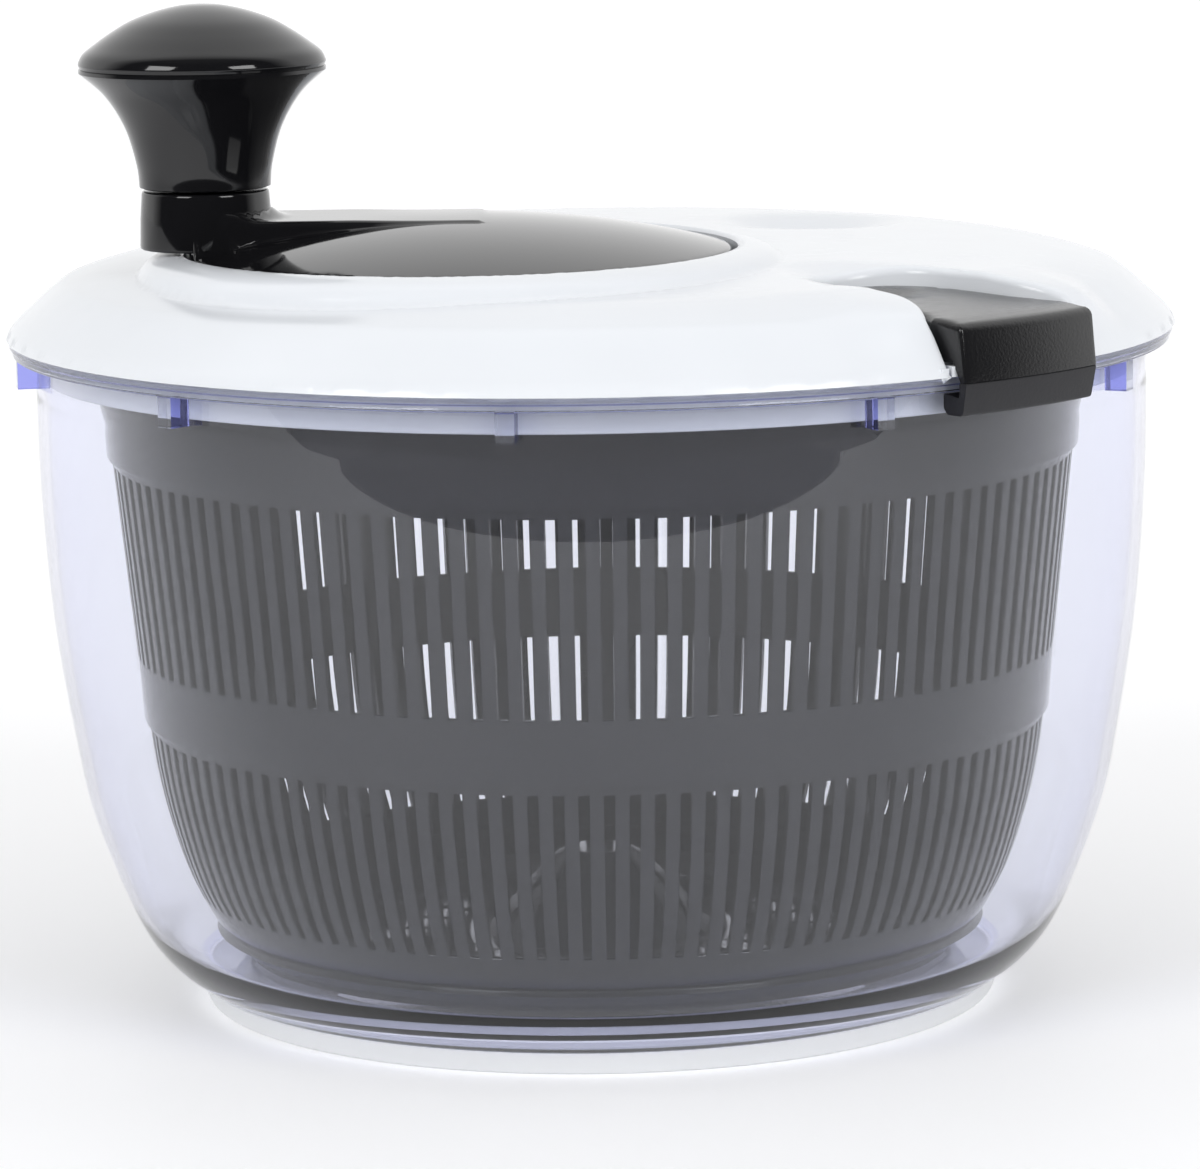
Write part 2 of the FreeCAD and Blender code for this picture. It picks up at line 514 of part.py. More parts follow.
def make_crank_arm():
    edge = WELL_RADIUS - DISC_EDGE_GAP
    ball = (edge ** 2 + DOME_RISE ** 2) / (2 * DOME_RISE)
    middle = Vector(DIAL_X, DIAL_Y, APEX_Z - ball)

    def cap(drop, radius):
        return Part.makeSphere(ball - drop, middle).common(rod(radius, DOME_EDGE_Z - 6.4, APEX_Z + 5, DIAL_X, DIAL_Y))

    disc = cap(0.0, edge).cut(cap(DOME_WALL, edge - DOME_WALL))
    half = ARM_HALF_WIDTH
    arm = block(KNOB_X, DIAL_X, KNOB_Y - half, KNOB_Y + half, ARM_BOTTOM_Z, ARM_TOP_Z)
    arm = joined(arm, rod(half, ARM_BOTTOM_Z, ARM_TOP_Z, DIAL_X, DIAL_Y))
    root_low, root_high = ARM_BOTTOM_Z - 2.8, ARM_BOTTOM_Z + 0.6
    root = joined(block(KNOB_X, DIAL_X - 8, KNOB_Y - half, KNOB_Y + half, root_low, root_high),
                  rod(half, root_low, root_high, KNOB_X, KNOB_Y))
    root = root.common(rod(edge, root_low - 1, root_high + 1, DIAL_X, DIAL_Y))
    post = turned([(0.0, ARM_BOTTOM_Z), (half + 0.2, ARM_BOTTOM_Z), (half, ARM_TOP_Z), (half - 0.45, POST_TOP_Z),
                   (0.0, POST_TOP_Z)], KNOB_X, KNOB_Y)
    shaft = joined(rod(SHAFT_RADIUS + 3.5, BUSH_TOP_Z + RUN, APEX_Z - 1.6, DIAL_X, DIAL_Y),
                   rod(SHAFT_RADIUS, GEAR_TOP_Z, BUSH_TOP_Z + 1, DIAL_X, DIAL_Y),
                   polygon_rod(6, HEX_FLATS, GEAR_BOTTOM_Z + 2.0, GEAR_TOP_Z, DIAL_X, DIAL_Y))
    crank = joined(disc, arm, root, post, shaft)
    return crank.cut([rod(KNOB_PIN, ARM_BOTTOM_Z + 1.6, POST_TOP_Z + 1, KNOB_X, KNOB_Y),
                      rod(CLAMP_SCREW + SCREW_GAP, GEAR_BOTTOM_Z, BUSH_TOP_Z - 1, DIAL_X, DIAL_Y)])


def make_crank_gear():
    gear = involute_gear(CRANK_TEETH, DIAL_X, DIAL_Y, TOWARDS_AXIS)
    rim, hub = GEAR_TIP - 5.75, SHAFT_RADIUS + 5.0
    holes = [polygon_rod(6, HEX_FLATS, GEAR_BOTTOM_Z - 1, GEAR_TOP_Z + 1, DIAL_X, DIAL_Y),
             rod(SHAFT_RADIUS + 0.6, GEAR_BOTTOM_Z - 1, GEAR_BOTTOM_Z + 2.0, DIAL_X, DIAL_Y),
             tube(rim, hub, GEAR_BOTTOM_Z - 1, GEAR_BOTTOM_Z + 1.5, DIAL_X, DIAL_Y),
             tube(rim, hub, GEAR_TOP_Z - 1.5, GEAR_TOP_Z + 1, DIAL_X, DIAL_Y)]
    return gear.cut(holes)


def make_crank_washer():
    return tube(SHAFT_RADIUS, CLAMP_SCREW + 0.25, GEAR_BOTTOM_Z + 1.2, GEAR_BOTTOM_Z + 2.0, DIAL_X, DIAL_Y)


def make_crank_screw():
    return pan_screw(CLAMP_SCREW, BUSH_TOP_Z - 3, 3.3, GEAR_BOTTOM_Z + 1.2, 1.6, DIAL_X, DIAL_Y)


# ---------------------------------------------------------------- pinion and driving disc
def make_drive_pinion():
    gear = involute_gear(PINION_TEETH, 0.0, 0.0, TOWARDS_AXIS + math.pi + math.pi / PINION_TEETH)
    shaft = joined(gear, rod(TOP_JOURNAL, GEAR_TOP_Z - 1, WELL_FLOOR_Z - 1.1),
                   rod(SHAFT_RADIUS, DISC_TOP_Z, GEAR_BOTTOM_Z + 1), polygon_rod(4, HEX_FLATS, HUB_BOTTOM_Z, DISC_TOP_Z))
    return shaft.cut(rod(CLAMP_SCREW + SCREW_GAP, HUB_BOTTOM_Z - 1, GEAR_BOTTOM_Z - 1.5))


def make_pinion_bush():
    bore, top = SHAFT_RADIUS + RUN, GEAR_BOTTOM_Z - 0.1
    return turned([(bore, DISC_TOP_Z + 1.4), (BUSH_RADIUS, DISC_TOP_Z + 1.4), (BUSH_RADIUS, COVER_TOP_Z),
                   (BUSH_RADIUS + 1.0, COVER_TOP_Z), (BUSH_RADIUS + 1.0, top), (bore, top)])


def make_driver_disc():
    rib_z = DISC_BOTTOM_Z - 2.4
    middle = 0.593 * DISC_RADIUS
    plate = joined(rod(DISC_RADIUS, DISC_BOTTOM_Z, DISC_TOP_Z), rod(SHAFT_RADIUS + 5.0, HUB_BOTTOM_Z, DISC_TOP_Z),
                   tube(middle + 1, middle - 1, rib_z, DISC_TOP_Z),
                   tube(DISC_RADIUS, DISC_RADIUS - 2.0, rib_z - 1.6, DISC_TOP_Z))
    lug = bar(DISC_RADIUS - 3, BASKET_RADIUS - 0.7, LUG_WIDTH / 2, DISC_BOTTOM_Z, DISC_TOP_Z)
    rib = bar(SHAFT_RADIUS + 4.0, DISC_RADIUS - 1, 1.0, rib_z, DISC_BOTTOM_Z + 0.5)
    low, high = rib_z - 5, DISC_TOP_Z + 5
    window = tube(DISC_RADIUS - 6.5, middle + 6, low, high).common(bar(middle, DISC_RADIUS, 7.0, low, high))
    disc = joined(plate, *around(lug, LUG_COUNT, 15.0), *around(rib, 12))
    return disc.cut(around(window, 12, 15.0) + [polygon_rod(4, HEX_FLATS, low - 5, high)])


def make_driver_washer():
    return tube(SHAFT_RADIUS + 1.5, CLAMP_SCREW + 0.25, HUB_BOTTOM_Z - SCREW_PLATE, HUB_BOTTOM_Z)


def make_driver_screw():
    return pan_screw(CLAMP_SCREW, GEAR_BOTTOM_Z - 3.5, 3.6, HUB_BOTTOM_Z - SCREW_PLATE, 2.1)


# ---------------------------------------------------------------- knob
def make_knob_pin():
    pin = rod(KNOB_PIN, ARM_BOTTOM_Z + 1.6, KNOB_PIN_TOP_Z, KNOB_X, KNOB_Y)
    return pin.cut(rod(CLAMP_SCREW + SCREW_GAP, KNOB_PIN_TOP_Z - 15, KNOB_PIN_TOP_Z + 1, KNOB_X, KNOB_Y))


def make_knob_body():
    neck, flare = ARM_HALF_WIDTH, KNOB_RADIUS - ARM_HALF_WIDTH
    shares = [(0.0, 0.0), (0.2, 0.04), (0.52, 0.224), (0.8, 0.56), (1.0, 1.0)]
    grip = [(neck + wide * flare, KNOB_BOTTOM_Z + up * (KNOB_GRIP - 0.9)) for up, wide in shares]
    bore = KNOB_PIN + RUN
    return turned([(bore, KNOB_BOTTOM_Z), grip, (KNOB_RADIUS, KNOB_SEAM_Z), (KNOB_POCKET, KNOB_SEAM_Z),
                   (KNOB_POCKET, KNOB_SEAT_Z), (bore, KNOB_SEAT_Z)], KNOB_X, KNOB_Y)


def make_knob_cap():
    def crown(radius, low, high):
        shares = [(1.0, 0.0), (0.962, 0.17), (0.873, 0.33), (0.734, 0.53), (0.569, 0.73)]
        return [(radius * wide, low + up * (high - low)) for wide, up in shares]

    rise = KNOB_TOP_Z - KNOB_SEAM_Z - 0.9
    outside = crown(KNOB_RADIUS, KNOB_SEAM_Z + 0.9, KNOB_TOP_Z)
    outside += [(KNOB_RADIUS * 0.367, KNOB_TOP_Z - rise * 0.12), (KNOB_RADIUS * 0.165, KNOB_TOP_Z - rise * 0.025),
                (0.0, KNOB_TOP_Z)]
    inside = crown(KNOB_RADIUS - 2.7, KNOB_SEAM_Z, KNOB_TOP_Z - 2.8)[::-1]
    spigot, low = KNOB_POCKET - RUN, KNOB_SEAM_Z - 1.9
    return turned([(KNOB_RADIUS, KNOB_SEAM_Z), outside, (0.0, KNOB_TOP_Z - 2.8), (spigot - 2, KNOB_TOP_Z - 5.4),
                   (spigot - 2, low), (spigot, low), (spigot, KNOB_TOP_Z - 6.4)] + [inside], KNOB_X, KNOB_Y)


def make_knob_washer():
    return tube(KNOB_POCKET - 3, CLAMP_SCREW + 0.25, KNOB_PIN_TOP_Z, KNOB_PIN_TOP_Z + SCREW_PLATE, KNOB_X, KNOB_Y)


def make_knob_screw():
    return pan_screw(CLAMP_SCREW, KNOB_PIN_TOP_Z - 13, 3.8, KNOB_PIN_TOP_Z + SCREW_PLATE, 2.3, KNOB_X, KNOB_Y)


# ---------------------------------------------------------------- latches
def make_latch_lever():
    far, high = FACE_OUTER + 9.0, PAD_UNDER_Z + 0.6
    plan = prism(latch_plan(0.0), HOOK_BOTTOM_Z, PAD_TOP_Z + 5).common(rod(FACE_OUTER, HOOK_BOTTOM_Z, PAD_TOP_Z + 5))
    top = side_prism([(PAD_X - 20, PAD_UNDER_Z), (PAD_X - 20, PAD_TOP_Z), (HINGE_X - 27, PAD_TOP_Z),
                      (HINGE_X - 12, PAD_TOP_Z - 0.6), (HINGE_X, PAD_TOP_Z - 1.3), (FACE_OUTER - 2, PAD_TOP_Z - 1.8),
                      (far, PAD_TOP_Z - 3.4), (far, PAD_UNDER_Z - 1.6), (HINGE_X - 4.5, PAD_UNDER_Z)],
                     2 * LATCH_HALF_WIDTH)
    front = tube(FACE_OUTER + 1, FACE_INNER, HOOK_TOP_Z, high).common(bar(0, far, 60, HOOK_TOP_Z, high))
    cheek_z = RIM_PLATE_Z + 0.5
    cheek = side_prism([(HINGE_X - 4.1, cheek_z + 1.3), (HINGE_X, cheek_z), (far, cheek_z), (far, high - 0.4),
                        (HINGE_X - 4.1, high - 0.4)], 2 * LATCH_HALF_WIDTH)
    cheek = cheek.cut(bar(0, far + 1, LATCH_HALF_WIDTH - 2.2, 0, 2 * high))
    boss_half = EAR_INNER - 0.4
    boss = joined(cross_rod(HINGE_PIN + 1.6, -boss_half, boss_half, HINGE_X, HINGE_Z),
                  bar(HINGE_X - 2.4, HINGE_X + 2.4, boss_half, HINGE_Z, high))
    lever = joined(plan.common(top), plan.common(front), plan.common(cheek), boss)
    dish = Part.makeSphere(51.0, Vector(PAD_X - 1.5, 0, PAD_TOP_Z - 1.2 + 51.0))
    return lever.cut([dish, cross_rod(HINGE_PIN + RUN, -EAR_INNER - 3, EAR_INNER + 3, HINGE_X, HINGE_Z),
                      rod(3.6, PAD_UNDER_Z - 1, PAD_UNDER_Z + 0.8, SPRING_X, 0)])


def make_latch_hook():
    tip = FLANGE_RADIUS - HOOK_REACH
    lip_z = FLANGE_BOTTOM_Z - 0.6
    hook = turned([(FACE_OUTER, HOOK_TOP_Z), (FACE_OUTER - 1.3, HOOK_BOTTOM_Z + 0.4), (FACE_INNER + 0.3, HOOK_BOTTOM_Z),
                   (tip + 1.2, HOOK_BOTTOM_Z), (tip, HOOK_BOTTOM_Z + 1.2), (tip, lip_z),
                   (FACE_INNER, lip_z - 0.7), (FACE_INNER, HOOK_TOP_Z)])
    return hook.common(bar(0, 2 * FACE_OUTER, LATCH_HALF_WIDTH, HOOK_BOTTOM_Z - 1, HOOK_TOP_Z + 1))


def make_latch_pin():
    return cross_rod(HINGE_PIN, -EAR_OUTER, EAR_OUTER, HINGE_X, HINGE_Z)


def make_latch_spring():
    """Compression spring that stands on the pocket's floor under the pad."""
    wire, coil = 0.4, 3.15
    low, high = POCKET_FLOOR_Z + wire + 0.05, PAD_UNDER_Z + 0.8 - wire - 0.05
    helix = Part.makeHelix((high - low) / 6.0, high - low, coil)
    section = Part.Wire(Part.makeCircle(wire, Vector(coil, 0, 0), Vector(0, 1, 0)))
    spring = Part.Wire(helix.Edges).makePipeShell([section], True, True)
    spring.translate(Vector(SPRING_X, 0, low))
    return spring


# ---------------------------------------------------------------- build
NODES = {
    "bowl": make_bowl,
    "foot_ring": make_foot_ring,
    "pivot_bush": make_pivot_bush,
    "basket": make_basket,
    "lid_shell": make_lid_shell,
    "gear_cover": make_gear_cover,
    "gear_cover_screws": make_cover_screws,
    "crank_bush": make_crank_bush,
    "crank_arm": make_crank_arm,
    "crank_gear": make_crank_gear,
    "crank_washer": make_crank_washer,
    "crank_screw": make_crank_screw,
    "drive_pinion": make_drive_pinion,
    "pinion_bush": make_pinion_bush,
    "driver_disc": make_driver_disc,
    "driver_washer": make_driver_washer,
    "driver_screw": make_driver_screw,
    "knob_pin": make_knob_pin,
    "knob_body": make_knob_body,
    "knob_cap": make_knob_cap,
    "knob_washer": make_knob_washer,
    "knob_screw": make_knob_screw,
}
LATCH_NODES = {
    "lever": make_latch_lever,
    "hook": make_latch_hook,
    "pin": make_latch_pin,
    "spring": make_latch_spring,
}


def save(name, shape):
    shape.exportStep("parts/" + name + ".step")
    print(name, "solids", len(shape.Solids), "valid", shape.isValid(), "volume", round(shape.Volume))


os.makedirs("parts", exist_ok=True)
for name, make in NODES.items():
    save(name, make())
for side, heading in LATCH_HEADINGS.items():
    for name, make in LATCH_NODES.items():
        save("latch_" + side + "_" + name, at_heading(make(), heading))
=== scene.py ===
"""Looks of the salad spinner: clear bowl, slotted basket, white lid, black crank, knob and latches."""
import bisect
import json
import math

import bmesh
import bpy
from mathutils import Matrix, Vector
from mathutils.geometry import delaunay_2d_cdt


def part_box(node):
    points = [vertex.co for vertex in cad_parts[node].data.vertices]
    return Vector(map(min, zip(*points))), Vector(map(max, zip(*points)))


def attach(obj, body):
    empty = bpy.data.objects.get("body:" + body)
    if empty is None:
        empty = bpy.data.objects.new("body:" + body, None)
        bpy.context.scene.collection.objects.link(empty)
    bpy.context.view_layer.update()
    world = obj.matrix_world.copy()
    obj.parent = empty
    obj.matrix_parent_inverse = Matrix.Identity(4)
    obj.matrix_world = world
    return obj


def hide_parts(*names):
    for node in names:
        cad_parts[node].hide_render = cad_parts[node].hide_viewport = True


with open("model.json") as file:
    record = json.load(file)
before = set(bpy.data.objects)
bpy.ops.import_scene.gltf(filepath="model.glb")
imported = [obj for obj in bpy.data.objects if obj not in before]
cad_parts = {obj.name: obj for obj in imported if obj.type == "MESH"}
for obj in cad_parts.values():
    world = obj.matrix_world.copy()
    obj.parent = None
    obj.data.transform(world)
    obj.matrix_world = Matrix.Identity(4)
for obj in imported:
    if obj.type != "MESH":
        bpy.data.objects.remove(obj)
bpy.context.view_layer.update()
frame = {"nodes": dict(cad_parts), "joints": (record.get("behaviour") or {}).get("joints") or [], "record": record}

MM = 0.001

# ---------------------------------------------------------------- places taken from the frame, in millimetres
JOINTS = {joint["name"]: joint for joint in frame["joints"]}


def low(node, axis):
    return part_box(node)[0][axis] / MM


def high(node, axis):
    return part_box(node)[1][axis] / MM


def joint_place(name):
    return [c / MM for c in JOINTS[name]["pos_m"]]


LID_R = high("lid_shell", 0)
SEAM = high("bowl", 2)
SKIRT_LOW = low("lid_shell", 2)
SKIRT_R = 119.5
WALL = 2.4
CROWN = SEAM + 17.8
DIAL = joint_place("crank_turn")[:2]
DISC_R = high("crank_arm", 0) - DIAL[0]
WELL_R = DISC_R + 1.3
APEX = SEAM + 27.4
BALL = (DISC_R ** 2 + 7.6 ** 2) / (2 * 7.6)
KNOB = joint_place("knob_spin")[:2]
KNOB_R = high("knob_body", 0) - KNOB[0]
KNOB_LOW = low("knob_body", 2)
KNOB_SEAM = high("knob_body", 2)
KNOB_TOP = high("knob_cap", 2)
POST_TOP = high("crank_arm", 2)
POST_R = 14.2
ARM_LOW = APEX - 6.2
HINGE = joint_place("latch_front_press")
HINGE_R = math.hypot(HINGE[0], HINGE[1])
LATCHES = {"front": 45.0, "rear": 225.0}
PAD_X = LID_R - 39.0
PAD_TOP = high("latch_front_lever", 2)
LATCH_HALF = 20.5
FACE_IN = HINGE_R + 5.1
FACE_OUT = FACE_IN + 2.4
HOOK_TOP = high("latch_front_hook", 2)
HOOK_LOW = low("latch_front_hook", 2)
BOWL_R = 122.8
FLANGE_R = high("bowl", 0) if high("bowl", 0) < LID_R else LID_R - 0.5
FOOT_R = 90.0
FLOOR_Z = high("foot_ring", 2)
BASKET_R = high("basket", 0)
BASKET_TOP = high("basket", 2)
BASKET_LOW = low("basket", 2)
SLOTS = 117
UPPER_SLOT, LOWER_SLOT = 2.5, 2.1
SLOT_START = 1.16
LATCH_GAP = 1.2
BAND_LOW, BAND_HIGH = 64.2, 76.8
FLANGE = 3.2                # the bowl's flange, in two steps with a violet line along each edge
RIM_STEP = FLANGE / 2
RIM_LINE = 0.48
LID_WALL = 2.2              # thickness of the lid's dome
EAR = 2.7                   # round end of a latch's hinge ears
PIN_BORE = 1.5              # hole in them
SHAFT_ROOM = 8.5            # hole for the crank's bush in the lid's well
LATCH_TURN = 10.6           # degrees each side of a latch where the lid's skirt stops


# ---------------------------------------------------------------- shaping helpers
def smoothstep(a, b, x):
    t = min(1.0, max(0.0, (x - a) / (b - a)))
    return t * t * (3 - 2 * t)


def blend_max(a, b, reach):
    """The larger of two heights, with a round fillet where they cross."""
    h = max(reach - abs(a - b), 0.0) / reach
    return max(a, b) + h * h * reach * 0.25


def curve(points, per=8):
    """Smooth run through points."""
    ends = [points[0]] + list(points) + [points[-1]]
    run = []
    for i in range(1, len(ends) - 2):
        a, b, c, d = (Vector(ends[i + k]) for k in (-1, 0, 1, 2))
        for k in range(per):
            t = k / per
            run.append(tuple(0.5 * (2 * b + (c - a) * t + (2 * a - 5 * b + 4 * c - d) * t * t
                                    + (3 * b - a - 3 * c + d) * t ** 3)))
    return run + [tuple(points[-1])]


def rounded(loop, radius=0.5, steps=3):
    """Closed outline with its sharp corners turned into small arcs."""
    out = []
    count = len(loop)
    for i in range(count):
        a, b, c = (Vector(loop[(i + k) % count]) for k in (-1, 0, 1))
        before, after = a - b, c - b
        if before.length < 1e-6 or after.length < 1e-6 or b[0] < 1e-6:
            out.append(tuple(b))
            continue
        if before.angle(after) > math.radians(158):
            out.append(tuple(b))
            continue
        cut = min(radius, 0.45 * before.length, 0.45 * after.length)
        start, end = b + before.normalized() * cut, b + after.normalized() * cut
        for k in range(steps + 1):
            t = k / steps
            out.append(tuple(start * (1 - t) ** 2 + b * 2 * t * (1 - t) + end * t * t))
    return out


class Profile:
    """Height looked up along a smooth run of (distance, height) points."""

    def __init__(self, points):
        run = sorted(curve(points, 12))
        self.x = [p[0] for p in run]
        self.z = [p[1] for p in run]

    def __call__(self, x):
        if x <= self.x[0]:
            return self.z[0]
        if x >= self.x[-1]:
            return self.z[-1]
        i = bisect.bisect_right(self.x, x)
        t = (x - self.x[i - 1]) / max(1e-9, self.x[i] - self.x[i - 1])
        return self.z[i - 1] + t * (self.z[i] - self.z[i - 1])


class Form:
    """Vertices in millimetres and the faces between them."""

    def __init__(self, points=(), faces=()):
        self.points = [Vector(p) for p in points]
        self.faces = [list(f) for f in faces]

    def __add__(self, other):
        shift = len(self.points)
        return Form(self.points + other.points, self.faces + [[i + shift for i in f] for f in other.faces])

    def moved(self, x=0.0, y=0.0, z=0.0):
        return Form([p + Vector((x, y, z)) for p in self.points], self.faces)

    def turned(self, degrees):
        turn = Matrix.Rotation(math.radians(degrees), 3, "Z")
        return Form([turn @ p for p in self.points], self.faces)

    def tipped(self):
        """Stand the form's Z axis along Y."""
        return Form([Vector((p.x, p.z, p.y)) for p in self.points], self.faces)


def lathe(loop, steps=192, centre=(0.0, 0.0), start=0.0, sweep=360.0):
    """Closed (radius, z) outline turned about an upright axis."""
    full = sweep >= 360.0
    rows = steps if full else steps + 1
    points, index = [], {}
    for i, (r, z) in enumerate(loop):
        for k in range(rows):
            if r < 1e-6 and k:
                index[i, k] = index[i, 0]
                continue
            angle = math.radians(start + sweep * k / steps)
            index[i, k] = len(points)
            points.append((centre[0] + r * math.cos(angle), centre[1] + r * math.sin(angle), z))
    faces = []
    for i in range(len(loop)):
        j = (i + 1) % len(loop)
        for k in range(steps):
            m = (k + 1) % rows if full else k + 1
            face = [index[i, k], index[i, m], index[j, m], index[j, k]]
            face = [v for n, v in enumerate(face) if v not in face[:n]]
            if len(face) > 2:
                faces.append(face)
    if not full:
        faces.append([index[i, 0] for i in range(len(loop))])
        faces.append([index[i, steps] for i in range(len(loop))])
    return Form(points, faces)


def inside(point, loop):
    x, y = point
    hit = False
    for (x0, y0), (x1, y1) in zip(loop, loop[1:] + loop[:1]):
        if (y0 > y) != (y1 > y) and x < (x1 - x0) * (y - y0) / (y1 - y0) + x0:
            hit = not hit
    return hit


def triangulated(loops, extra, keep):
    """Triangles over points in the plane, with the loops as fixed edges."""
    coords, edges = [], []
    for loop in loops:
        first = len(coords)
        coords += [Vector(p[:2]) for p in loop]
        edges += [(first + i, first + (i + 1) % len(loop)) for i in range(len(loop))]
    coords += [Vector(p[:2]) for p in extra]
    result = delaunay_2d_cdt(coords, edges, [], 0, 1e-5)
    triangles = []
    for face in result[2]:
        middle = sum((result[0][i] for i in face), Vector((0, 0))) / len(face)
        if keep(middle.x, middle.y):
            triangles.append(list(face))
    return result[0], triangles, result[3]


def plate(outline, bottom, top, holes=()):
    """Flat plate over an outline, with holes."""
    loops = [list(outline)] + [list(hole) for hole in holes]

    def keep(x, y):
        return inside((x, y), loops[0]) and not any(inside((x, y), hole) for hole in loops[1:])

    flat, triangles, _ = triangulated(loops, [], keep)
    count = len(flat)
    points = [(p.x, p.y, top) for p in flat] + [(p.x, p.y, bottom) for p in flat]
    faces = list(triangles) + [[i + count for i in reversed(t)] for t in triangles]
    seen = {}
    for t in triangles:
        for a, b in zip(t, t[1:] + t[:1]):
            seen[a, b] = True
    for a, b in seen:
        if (b, a) not in seen:
            faces.append([a, b, b + count, a + count])
    return Form(points, faces)


def circle(radius, centre=(0.0, 0.0), count=96):
    turns = [2 * math.pi * k / count for k in range(count)]
    return [(centre[0] + radius * math.cos(a), centre[1] + radius * math.sin(a)) for a in turns]


def mesh_of(name, form):
    mesh = bpy.data.meshes.new(name)
    mesh.from_pydata([p * MM for p in form.points], [], form.faces)
    return mesh


def finish_mesh(mesh, sharp):
    bm = bmesh.new()
    bm.from_mesh(mesh)
    bmesh.ops.remove_doubles(bm, verts=bm.verts, dist=1e-6)
    bmesh.ops.recalc_face_normals(bm, faces=bm.faces)
    bm.to_mesh(mesh)
    bm.free()
    mesh.shade_smooth()
    mesh.set_sharp_from_angle(angle=math.radians(sharp))


def piece(name, mesh, body, material, replaces=(), sharp=38):
    """One finished visual piece: a mesh in place at the origin, riding on a body."""
    if isinstance(mesh, Form):
        mesh = mesh_of(name, mesh)
        finish_mesh(mesh, sharp)
    mesh.materials.clear()
    mesh.materials.append(material)
    made = bpy.data.objects.new(name, mesh)
    bpy.context.scene.collection.objects.link(made)
    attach(made, body)
    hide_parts(*replaces)
    return made


def repeated_round(name, unit, count, start, material):
    """Copies of a form evenly round the upright axis, made by Geometry Nodes and returned as a plain mesh."""
    tree = bpy.data.node_groups.new(name + "_ring", "GeometryNodeTree")
    face = tree.interface
    face.new_socket("Unit", in_out="INPUT", socket_type="NodeSocketGeometry")
    count_in = face.new_socket("Count", in_out="INPUT", socket_type="NodeSocketInt")
    start_in = face.new_socket("Start angle", in_out="INPUT", socket_type="NodeSocketFloat")
    finish_in = face.new_socket("Finish", in_out="INPUT", socket_type="NodeSocketMaterial")
    face.new_socket("Ring", in_out="OUTPUT", socket_type="NodeSocketGeometry")
    add, link = tree.nodes.new, tree.links.new
    enter, leave = add("NodeGroupInput"), add("NodeGroupOutput")
    dots, index = add("GeometryNodePoints"), add("GeometryNodeInputIndex")
    share, turn, shift = (add("ShaderNodeMath") for _ in range(3))
    share.operation, turn.operation, shift.operation = "DIVIDE", "MULTIPLY", "ADD"
    share.inputs[0].default_value = 2 * math.pi
    spin, copies = add("ShaderNodeCombineXYZ"), add("GeometryNodeInstanceOnPoints")
    solid, coat = add("GeometryNodeRealizeInstances"), add("GeometryNodeSetMaterial")
    link(enter.outputs["Count"], dots.inputs["Count"])
    link(enter.outputs["Count"], share.inputs[1])
    link(index.outputs[0], turn.inputs[0])
    link(share.outputs[0], turn.inputs[1])
    link(turn.outputs[0], shift.inputs[0])
    link(enter.outputs["Start angle"], shift.inputs[1])
    link(shift.outputs[0], spin.inputs["Z"])
    link(dots.outputs[0], copies.inputs["Points"])
    link(enter.outputs["Unit"], copies.inputs["Instance"])
    link(spin.outputs[0], copies.inputs["Rotation"])
    link(copies.outputs[0], solid.inputs[0])
    link(solid.outputs[0], coat.inputs["Geometry"])
    link(enter.outputs["Finish"], coat.inputs["Material"])
    link(coat.outputs[0], leave.inputs[0])

    mesh = mesh_of(name, unit)
    finish_mesh(mesh, 30)
    made = bpy.data.objects.new(name, mesh)
    bpy.context.scene.collection.objects.link(made)
    ring = made.modifiers.new("ring", "NODES")
    ring.node_group = tree
    ring[count_in.identifier] = count
    ring[start_in.identifier] = math.radians(start)
    ring[finish_in.identifier] = material
    evaluated = made.evaluated_get(bpy.context.evaluated_depsgraph_get())
    plain = bpy.data.meshes.new_from_object(evaluated)
    bpy.data.objects.remove(made)
    return plain


def joined_mesh(name, meshes):
    bm = bmesh.new()
    for mesh in meshes:
        bm.from_mesh(mesh)
    whole = bpy.data.meshes.new(name)
    bm.to_mesh(whole)
    bm.free()
    whole.shade_smooth()
    whole.set_sharp_from_angle(angle=math.radians(35))
    return whole


# ---------------------------------------------------------------- finishes
def new_group(name, inputs, outputs):
    group = bpy.data.node_groups.new(name, "ShaderNodeTree")
    for label, kind, value in inputs:
        socket = group.interface.new_socket(label, in_out="INPUT", socket_type=kind)
        socket.default_value = value
    for label, kind in outputs:
        group.interface.new_socket(label, in_out="OUTPUT", socket_type=kind)
    return group, group.nodes.new("NodeGroupInput"), group.nodes.new("NodeGroupOutput")


